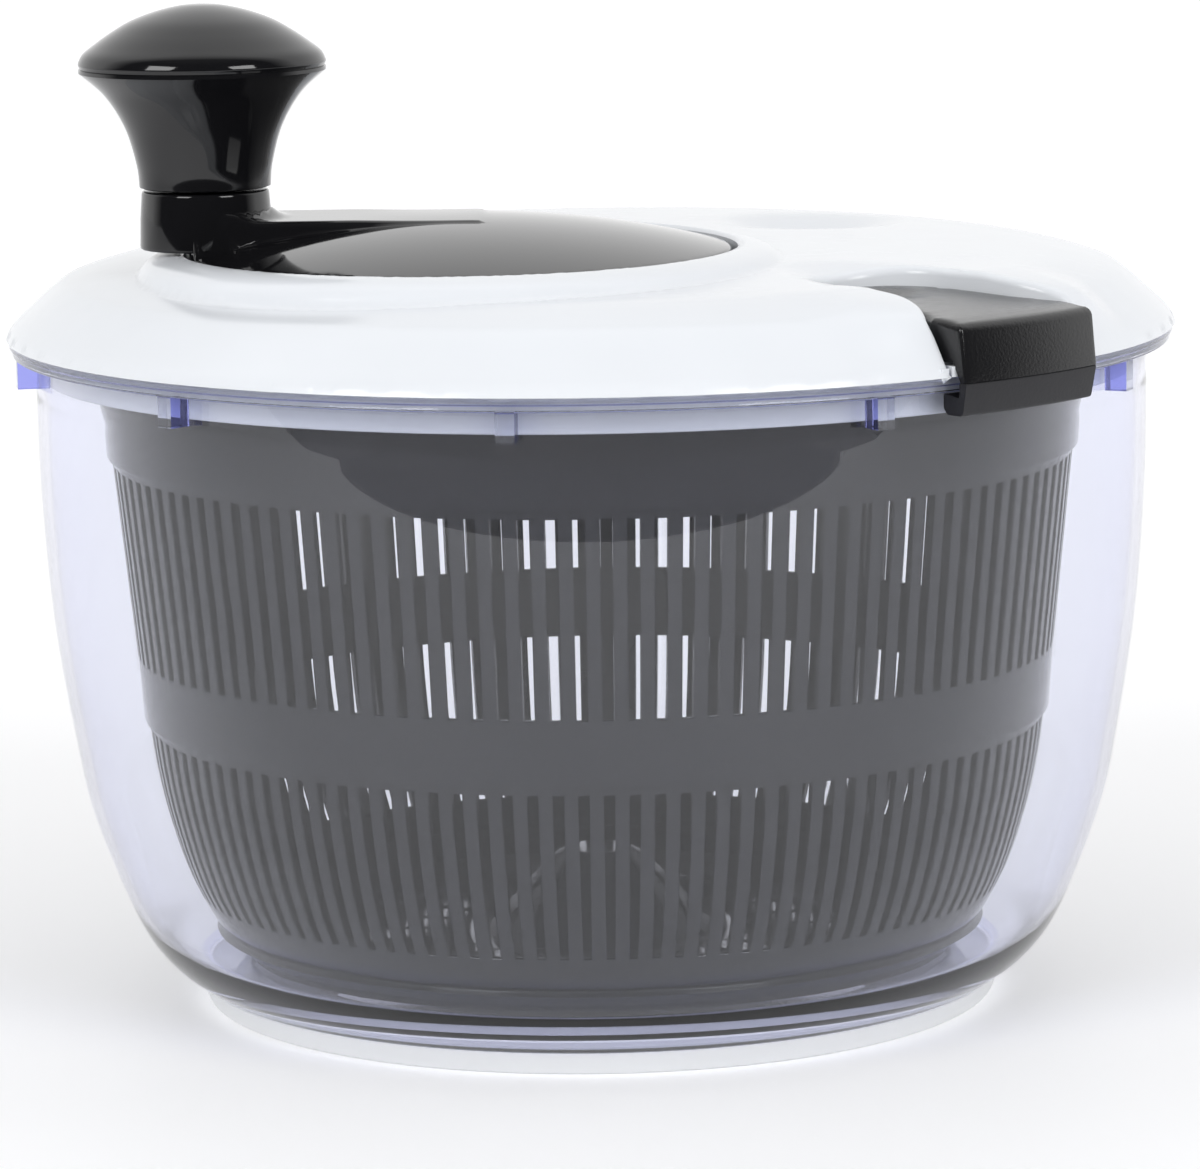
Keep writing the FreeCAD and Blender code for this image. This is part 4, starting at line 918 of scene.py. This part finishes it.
def lid_skin():
    gap = LATCH_GAP
    radius = 1.7
    path = latch_path(gap)
    closed = path + [(LID_R + 12, LATCH_HALF + gap), (LID_R + 12, -LATCH_HALF - gap)]
    outer, rows, notches = [], [], []
    edge_turn = math.degrees(math.asin((LATCH_HALF + gap) / LID_R))
    headings = list(LATCHES.values())
    for n, heading in enumerate(headings):
        ahead = heading + edge_turn
        to_next = headings[(n + 1) % len(headings)] - edge_turn + (360 if n == len(headings) - 1 else 0)
        inner_path = [p for p in path if math.hypot(*p) < LID_R - 0.25]
        end = math.sqrt(LID_R ** 2 - (LATCH_HALF + gap) ** 2)
        inner_path = [(end, -LATCH_HALF - gap)] + inner_path + [(end, LATCH_HALF + gap)]
        outer += [from_latch(u, t, heading) for u, t in inner_path]
        steps = 260
        turns = [math.radians(ahead + (to_next - ahead) * k / steps) for k in range(1, steps)]
        outer += [(LID_R * math.sin(turn), -LID_R * math.cos(turn)) for turn in turns]
        notches.append([from_latch(u, t, heading) for u, t in closed])
        rows.append(([from_latch(u, t, heading) for u, t in inner_path[1:-1]], radius - 0.02))
        for away in EDGE_STEPS[1:]:
            line = [p for p in offset_path(path, away) if math.hypot(*p) < LID_R - 0.3]
            rows.append(([from_latch(u, t, heading) for u, t in line], edge_drop(away, radius)))
    well = circle(WELL_R, DIAL, 300)
    guard = offset_path(path, 2.1) + [(LID_R + 12, LATCH_HALF + 4), (LID_R + 12, -LATCH_HALF - 4)]
    guards = [[from_latch(u, t, h) for u, t in guard] for h in headings]

    def free(p):
        dial = math.hypot(p[0] - DIAL[0], p[1] - DIAL[1])
        return dial > WELL_R + 0.3 and not any(inside(p, g) for g in guards)

    extra = []
    for away in (0.5, 1.0, 1.8, 3.0, 4.4, 5.8, 7.0, 8.0, 8.8, 9.4, 9.9, 10.3, 10.8, 11.4, 12.2, 13.4, 15.0):
        extra += [p for p in circle(WELL_R + away, DIAL, 300) if free(p) and math.hypot(*p) < LID_R - 3]
    rings = []
    r = LID_R - 0.45
    while r > 2:
        step = 0.75 if r > LID_R - 16 else 2.6
        count = 520 if r > LID_R - 16 else max(12, int(2 * math.pi * r / 2.6))
        rings += [p for p in circle(r, (0, 0), count)
                  if free(p) and math.hypot(p[0] - DIAL[0], p[1] - DIAL[1]) > WELL_R + 15.6]
        r -= step
    extra += thinned(rings, extra, 0.6)
    extra = thinned(extra, [p for points, _ in rows for p in points], 0.5)

    def keep(x, y):
        return (math.hypot(x - DIAL[0], y - DIAL[1]) > WELL_R - 0.05
                and not any(inside((x, y), notch) for notch in notches))

    def floor_of(x, y):
        r = math.hypot(x, y)
        if r > LID_R - 0.1:
            return None
        if math.hypot(x - DIAL[0], y - DIAL[1]) < WELL_R + 0.2:
            return SEAM + 14.0
        return SEAM + 1.8 if r > SKIRT_R - WALL else PAD_TOP - 14.2

    return skin_mesh("lid_skin", [outer, well], rows, extra, lid_height, keep, floor_of, LID_WALL, 50)


def latch_tray(heading):
    """Pocket floor, rim plate, hinge ears and spring seat under one latch."""
    floor_z = PAD_TOP - 13.8
    plate_z = SEAM + 2.2
    reach = SKIRT_R - 0.6
    path = [p for p in latch_path(2.4) if math.hypot(*p) < reach]
    forms = plate(path, floor_z - 2.0, floor_z)
    rim = [(SKIRT_R - WALL, SEAM), (LID_R - 0.3, SEAM), (LID_R - 0.3, plate_z), (SKIRT_R - WALL, plate_z)]
    forms += lathe(rim, 16, start=-9.5, sweep=19.0)
    arc = [(HINGE_R + EAR * math.cos(math.radians(a)), HINGE[2] + EAR * math.sin(math.radians(a)))
           for a in range(0, 181, 15)]
    ear = plate([(HINGE_R - EAR, plate_z - 0.5), (HINGE_R + EAR, plate_z - 0.5)] + arc, 12.4, 16.4,
                [circle(PIN_BORE, (HINGE_R, HINGE[2]), 24)])
    for side in (1, -1):
        forms += Form([Vector((p.x, side * p.z, p.y)) for p in ear.points], ear.faces)
    seat = [(0.0, floor_z - 0.5), (2.6, floor_z - 0.5), (2.6, floor_z + 2.0), (0.0, floor_z + 2.0)]
    forms += lathe(seat, 32, (LID_R - 26.0, 0.0))
    return forms.turned(heading - 90)


def make_lid():
    well_low = SEAM + 8.3
    upper_skirt = [(SKIRT_R, SEAM), (SKIRT_R, well_low), (SKIRT_R - WALL, well_low + 1),
                   (SKIRT_R - WALL, SEAM)]
    forms = lathe(rounded([(SKIRT_R, SKIRT_LOW), (SKIRT_R, SEAM + 0.8), (SKIRT_R - WALL, SEAM + 0.8),
                           (SKIRT_R - WALL, SKIRT_LOW)], 0.5), 240)
    for heading in LATCHES.values():
        forms += latch_tray(heading)
        forms += lathe(upper_skirt, 110, start=heading - 90 + LATCH_TURN, sweep=180 - 2 * LATCH_TURN)
    ring = [(WELL_R, SEAM + 15.5), (WELL_R, SEAM + 9.5), (WELL_R + WALL, SEAM + 9.5),
            (WELL_R + WALL, SEAM + 15.5)]
    forms += lathe(ring, 200, DIAL)
    forms += plate(circle(WELL_R + WALL, DIAL, 200), well_low, well_low + 2.5,
                   [circle(SHAFT_ROOM, DIAL, 48), circle(4.05, (0, 0), 32)])
    forms += plate(circle(4.6, (0, 0), 32), well_low + 1.6, well_low + 2.45)
    collar = [(SHAFT_ROOM, well_low + 2.4), (12.0, well_low + 2.4), (12.0, well_low + 8.5),
              (SHAFT_ROOM, well_low + 8.5)]
    forms += lathe(collar, 64, DIAL)
    under_mesh = mesh_of("lid_under", forms)
    finish_mesh(under_mesh, 35)
    whole = joined_mesh("lid_white", [lid_skin(), under_mesh])
    whole.set_sharp_from_angle(angle=math.radians(50))
    piece("lid_white", whole, "lid", WHITE, ["lid_shell"])


# ---------------------------------------------------------------- crank and knob
def crank_height(x, y):
    """Domed disc with the arm rising out of it towards the knob."""
    dx, dy = x - DIAL[0], y - DIAL[1]
    dome = APEX - BALL + math.sqrt(max(0.0, BALL ** 2 - dx * dx - dy * dy))
    along, across = -dx, abs(dy)
    top = APEX - 0.25 + 0.65 * smoothstep(2.0, 24.0, along)
    post = math.hypot(x - KNOB[0], y - KNOB[1])
    if post < POST_R + 4.0:
        top += (POST_R + 4.0 - max(post, POST_R)) ** 2 / 8.0
    half = POST_R - 1.9
    shoulder = across - half
    if shoulder > 0:
        steep = 3.0 + 16.0 * smoothstep(42.0, 55.0, along)
        top -= edge_drop(max(0.0, 1.5 - shoulder), 1.5) if shoulder < 1.5 else 1.5 + steep * (shoulder - 1.5)
    top -= 30.0 * smoothstep(0.0, 12.0, -along - 4.0)
    return blend_max(dome, top, 1.6)


def make_crank():
    edge = DISC_R
    outline = circle(edge, DIAL, 260)
    rows = [(outline, 0.9)]
    rows += [(circle(edge - away, DIAL, 260), edge_drop(away, 0.9)) for away in (0.1, 0.3, 0.6, 0.95)]
    grid = []
    across = -edge
    while across < edge:
        fine = POST_R - 4 < abs(across) < POST_R + 5
        along = -edge
        while along < edge:
            if math.hypot(along, across) < edge - 1.6:
                grid.append((DIAL[0] + along, DIAL[1] + across))
            along += 1.5
        across += 0.45 if fine else 1.3
    top = skin_mesh("crank_top", [outline], rows, grid, crank_height,
                    lambda x, y: math.hypot(x - DIAL[0], y - DIAL[1]) < edge,
                    lambda x, y: SEAM + 13.6, 2.0, 60)
    post = [(0.0, ARM_LOW), (POST_R + 0.2, ARM_LOW), (POST_R, APEX + 0.4), (POST_R - 0.45, POST_TOP),
            (0.0, POST_TOP)]
    forms = lathe(rounded(post, 0.7, 4), 128, KNOB)
    shaft = [(0.0, APEX - 1.8), (9.5, APEX - 1.8), (9.5, SEAM + 17.85), (6.0, SEAM + 17.85),
             (6.0, SEAM + 7.3), (4.6, SEAM + 7.3), (4.6, SEAM + 3.3), (0.0, SEAM + 3.3)]
    forms += lathe(rounded(shaft, 0.4), 48, DIAL)
    rest = mesh_of("crank_rest", forms)
    finish_mesh(rest, 38)
    whole = joined_mesh("crank_black", [top, rest])
    whole.set_sharp_from_angle(angle=math.radians(48))
    piece("crank_black", whole, "crank", GLOSS_BLACK, ["crank_arm"])


def make_knob():
    flare = KNOB_R - POST_R
    grip_high = KNOB_SEAM - KNOB_LOW
    shares = [(0.0, 0.0), (0.2, 0.04), (0.52, 0.224), (0.8, 0.56), (1.0, 1.0)]
    grip = curve([(POST_R + w * flare, KNOB_LOW + up * (grip_high - 0.9)) for up, w in shares], 10)
    loop = [(4.05, KNOB_LOW), (POST_R - 0.7, KNOB_LOW), (POST_R - 0.1, KNOB_LOW + 0.5)] + grip[1:]
    loop += [(KNOB_R - 0.02, KNOB_SEAM - 0.15), (KNOB_R - 0.3, KNOB_SEAM), (12.0, KNOB_SEAM),
             (12.0, KNOB_SEAM - 6.5), (4.05, KNOB_SEAM - 6.5)]
    piece("knob_grip", lathe(loop, 160, KNOB), "knob", GLOSS_BLACK, ["knob_body"])
    rise = KNOB_TOP - KNOB_SEAM
    shares = [(0.995, 0.035), (1.0, 0.09), (0.962, 0.23), (0.873, 0.37), (0.734, 0.56), (0.569, 0.745),
              (0.367, 0.89), (0.165, 0.978), (0.0, 1.0)]
    crown = curve([(KNOB_R * out, KNOB_SEAM + rise * up) for out, up in shares], 7)
    loop = [(KNOB_R - 0.3, KNOB_SEAM)] + crown
    loop += [(0.0, KNOB_TOP - 2.8), (6.0, KNOB_TOP - 3.4), (9.95, KNOB_TOP - 4.6), (9.95, KNOB_SEAM - 1.9),
             (11.95, KNOB_SEAM - 1.9), (11.95, KNOB_SEAM + 0.01)]
    piece("knob_top", lathe(loop, 160, KNOB), "knob", GLOSS_BLACK, ["knob_cap"])


# ---------------------------------------------------------------- latches
LEVER_TOP = Profile([(60.0, PAD_TOP), (HINGE_R - 30.0, PAD_TOP), (HINGE_R - 12.0, PAD_TOP - 0.6),
                     (HINGE_R, PAD_TOP - 1.3), (FACE_OUT - 2.0, PAD_TOP - 1.8),
                     (FACE_OUT + 1.0, PAD_TOP - 2.1)])


def lever_height(u, t):
    z = LEVER_TOP(math.hypot(u, t) if u > HINGE_R - 8 else u)
    dish = math.hypot((u - PAD_X + 1.0) / 12.5, t / 11.0)
    if dish < 1:
        z -= 1.3 * (1 - smoothstep(0.1, 1.0, dish))
    return z


def make_latch(side, heading):
    radius = 1.6
    corner = math.asin(LATCH_HALF / FACE_OUT)
    face = [(FACE_OUT * math.cos(corner * (1 - 2 * k / 24)), FACE_OUT * math.sin(corner * (1 - 2 * k / 24)))
            for k in range(25)]
    path = [p for p in latch_path(0.0) if p[0] < FACE_OUT * math.cos(corner) - 0.6]
    outline = rounded(path + face, 1.3, 4)
    start = outline.index(min(outline))
    outline = outline[start:] + outline[:start]
    closed = outline[-1:] + outline + outline[:1]
    rows = []
    for away in EDGE_STEPS[:-1]:
        rows.append((offset_path(closed, -away)[1:-1], edge_drop(away, radius)))
    grid = []
    u = PAD_X - 15
    while u < FACE_OUT:
        t = -LATCH_HALF
        while t < LATCH_HALF:
            grid.append((u, t))
            t += 1.3
        u += 1.3
    guard = offset_path(closed, -1.9)[1:-1]
    grid = [p for p in grid if inside(p, guard)]

    def floor_of(u, t):
        if math.hypot(u, t) > FACE_OUT - 1.6:
            return HOOK_TOP + 0.02
        if u > HINGE_R - 4.0:
            return SEAM + 2.9
        return PAD_TOP - 3.0

    top = skin_mesh("latch_top", [outline], rows[1:] + [(outline, radius)], grid, lever_height,
                    lambda x, y: inside((x, y), outline), floor_of, 1.6, 50)
    for vert in top.vertices:
        u, z = math.hypot(vert.co.x, vert.co.y) / MM, vert.co.z / MM
        lean = max(0.0, (z - HOOK_TOP) / (PAD_TOP - HOOK_TOP)) ** 2.2
        lean *= smoothstep(HINGE_R - 1.0, FACE_OUT - 1.0, u)
        vert.co.x -= 2.1 * MM * lean
    boss = lathe([(1.55, -12.0), (3.1, -12.0), (3.1, 12.0), (1.55, 12.0)], 32)
    boss = boss.tipped().moved(HINGE_R, 0, HINGE[2])
    web = [(HINGE_R - 2.0, -11.5), (HINGE_R + 2.0, -11.5), (HINGE_R + 2.0, 11.5), (HINGE_R - 2.0, 11.5)]
    web = plate(web, HINGE[2] + 2.0, PAD_TOP - 2.6)
    rest = mesh_of("latch_rest", boss + web)
    finish_mesh(rest, 38)
    whole = joined_mesh("latch_" + side, [top, rest])
    whole.transform(Matrix.Rotation(math.radians(heading - 90), 4, "Z"))
    whole.set_sharp_from_angle(angle=math.radians(50))
    body, lever = "latch_" + side, "latch_" + side + "_lever"
    piece("latch_pad_" + side, whole, body, SATIN_BLACK, [lever])

    tip = FACE_IN - 5.1
    lip = SEAM - 3.8
    section = [(FACE_OUT, HOOK_TOP), (FACE_OUT - 1.3, HOOK_LOW + 0.4), (FACE_IN + 0.3, HOOK_LOW),
               (tip + 1.2, HOOK_LOW), (tip, HOOK_LOW + 1.2), (tip, lip), (FACE_IN, lip - 0.7),
               (FACE_IN, HOOK_TOP)]
    turn = math.degrees(math.asin(LATCH_HALF / FACE_OUT)) - 0.12
    hook = lathe(rounded(section, 0.6), 24, start=heading - 90 - turn, sweep=2 * turn)
    piece("latch_hook_" + side, hook, body, SOFT_BLACK, ["latch_" + side + "_hook"], sharp=30)


# ---------------------------------------------------------------- carried-over nodes
NODE_FINISH = {
    "white_plastic": WHITE_INNER, "bearing_plastic": ACETAL, "steel": STEEL, "clear_plastic": CLEAR,
    "milky_rubber": MILKY, "grey_plastic": CHARCOAL, "gloss_black": GLOSS_BLACK, "satin_black": SATIN_BLACK,
    "soft_black": SOFT_BLACK,
}


def finish_cad_nodes():
    for entry in frame["record"]["subparts"]:
        node = frame["nodes"][entry["node"]]
        for place in node.material_slots:
            place.material = NODE_FINISH[entry["material_slot"]]


# ---------------------------------------------------------------- studio
def make_floor():
    """Pale paper that ends in front of the object, so that glossy fronts mirror its edge."""
    mesh = bpy.data.meshes.new("floor")
    mesh.from_pydata([(-4, -0.66, 0), (4, -0.66, 0), (4, 5, 0), (-4, 5, 0)], [], [(0, 1, 2, 3)])
    material, tree, shader = new_finish("pale_floor", Roughness=0.6, Emission_Strength=1.0)
    noise, tone = tree.nodes.new("ShaderNodeTexNoise"), tree.nodes.new("ShaderNodeMix")
    tone.data_type = "RGBA"
    tone.inputs["A"].default_value = (0.955, 0.96, 0.97, 1)
    tone.inputs["B"].default_value = (0.97, 0.97, 0.98, 1)
    noise.inputs["Scale"].default_value = 6.0
    tree.links.new(noise.outputs["Fac"], tone.inputs["Factor"])
    tree.links.new(tone.outputs["Result"], shader.inputs["Base Color"])
    place, split, glow = (tree.nodes.new(kind) for kind in (
        "ShaderNodeTexCoord", "ShaderNodeSeparateXYZ", "ShaderNodeMapRange"))
    glow.inputs["From Min"].default_value, glow.inputs["From Max"].default_value = -0.1, 0.9
    glow.inputs["To Min"].default_value, glow.inputs["To Max"].default_value = 0.17, 0.45
    tree.links.new(place.outputs["Object"], split.inputs[0])
    tree.links.new(split.outputs["Y"], glow.inputs["Value"])
    tree.links.new(glow.outputs[0], shader.inputs["Emission Color"])
    floor = bpy.data.objects.new("floor", mesh)
    bpy.context.scene.collection.objects.link(floor)
    mesh.materials.append(material)


def add_softbox(name, place, target, size, power):
    light = bpy.data.lights.new(name, "AREA")
    light.shape, light.size, light.energy = "SQUARE", size, power
    made = bpy.data.objects.new(name, light)
    made.location = place
    made.rotation_euler = (Vector(target) - Vector(place)).to_track_quat("-Z", "Y").to_euler()
    bpy.context.scene.collection.objects.link(made)


def add_camera():
    """Camera about 1.3 m in front of the bowl, a little above it and looking slightly down."""
    pitch, roll, yaw = math.radians(9.16), math.radians(-0.92), math.radians(-0.52)
    ahead = Vector((math.sin(yaw), math.cos(yaw), 0))
    forward = ahead * math.cos(pitch) - Vector((0, 0, math.sin(pitch)))
    up = ahead * math.sin(pitch) + Vector((0, 0, math.cos(pitch)))
    right = Vector((math.cos(yaw), -math.sin(yaw), 0))
    right, up = right * math.cos(roll) + up * math.sin(roll), up * math.cos(roll) - right * math.sin(roll)
    data = bpy.data.cameras.new("camera")
    data.lens, data.sensor_width, data.clip_end = 177.45, 36.0, 50.0
    camera = bpy.data.objects.new("camera", data)
    camera.matrix_world = Matrix((
        (right.x, up.x, -forward.x, 0.013), (right.y, up.y, -forward.y, -1.304),
        (right.z, up.z, -forward.z, 0.3008), (0, 0, 0, 1)))
    bpy.context.scene.collection.objects.link(camera)
    bpy.context.scene.camera = camera


def add_studio():
    """White backdrop behind, dark room in front, even fill, and two softboxes high at the front."""
    world = bpy.data.worlds.new("studio")
    world.use_nodes = True
    tree = world.node_tree
    add, link = tree.nodes.new, tree.links.new
    back = tree.nodes["Background"]
    path, place, split = add("ShaderNodeLightPath"), add("ShaderNodeTexCoord"), add("ShaderNodeSeparateXYZ")
    behind, above, most, seen, room, fill = (add(kind) for kind in (
        "ShaderNodeMapRange", "ShaderNodeMapRange", "ShaderNodeMath", "ShaderNodeMath", "ShaderNodeMix",
        "ShaderNodeMix"))
    behind.inputs["From Min"].default_value, behind.inputs["From Max"].default_value = -0.15, 0.25
    above.inputs["From Min"].default_value, above.inputs["From Max"].default_value = 0.75, 0.98
    for band, lowest, highest in ((behind, 0.03, 1.15), (above, 0.03, 0.12)):
        band.inputs["To Min"].default_value, band.inputs["To Max"].default_value = lowest, highest
    most.operation, seen.operation = "MAXIMUM", "MAXIMUM"
    room.data_type = fill.data_type = "RGBA"
    room.inputs["A"].default_value = (0.57, 0.57, 0.575, 1)
    fill.inputs["B"].default_value = (1, 1, 1, 1)
    link(place.outputs["Generated"], split.inputs[0])
    link(split.outputs["Y"], behind.inputs["Value"])
    link(split.outputs["Z"], above.inputs["Value"])
    link(behind.outputs[0], most.inputs[0])
    link(above.outputs[0], most.inputs[1])
    link(most.outputs[0], room.inputs["B"])
    link(path.outputs["Is Glossy Ray"], room.inputs["Factor"])
    link(path.outputs["Is Camera Ray"], seen.inputs[0])
    link(path.outputs["Is Transmission Ray"], seen.inputs[1])
    link(room.outputs["Result"], fill.inputs["A"])
    link(seen.outputs[0], fill.inputs["Factor"])
    link(fill.outputs["Result"], back.inputs["Color"])
    bpy.context.scene.world = world
    add_softbox("front_left", (-0.74, -0.85, 0.8), (0, 0, 0.12), 0.5, 4.6)
    add_softbox("front_right", (0.74, -0.85, 0.8), (0, 0, 0.12), 0.5, 4.8)
    bpy.context.scene.view_settings.view_transform = "Standard"


finish_cad_nodes()
make_bowl()
make_foot()
make_basket()
make_lid()
make_crank()
make_knob()
for latch_side, latch_heading in LATCHES.items():
    make_latch(latch_side, latch_heading)
make_floor()
add_camera()
add_studio()
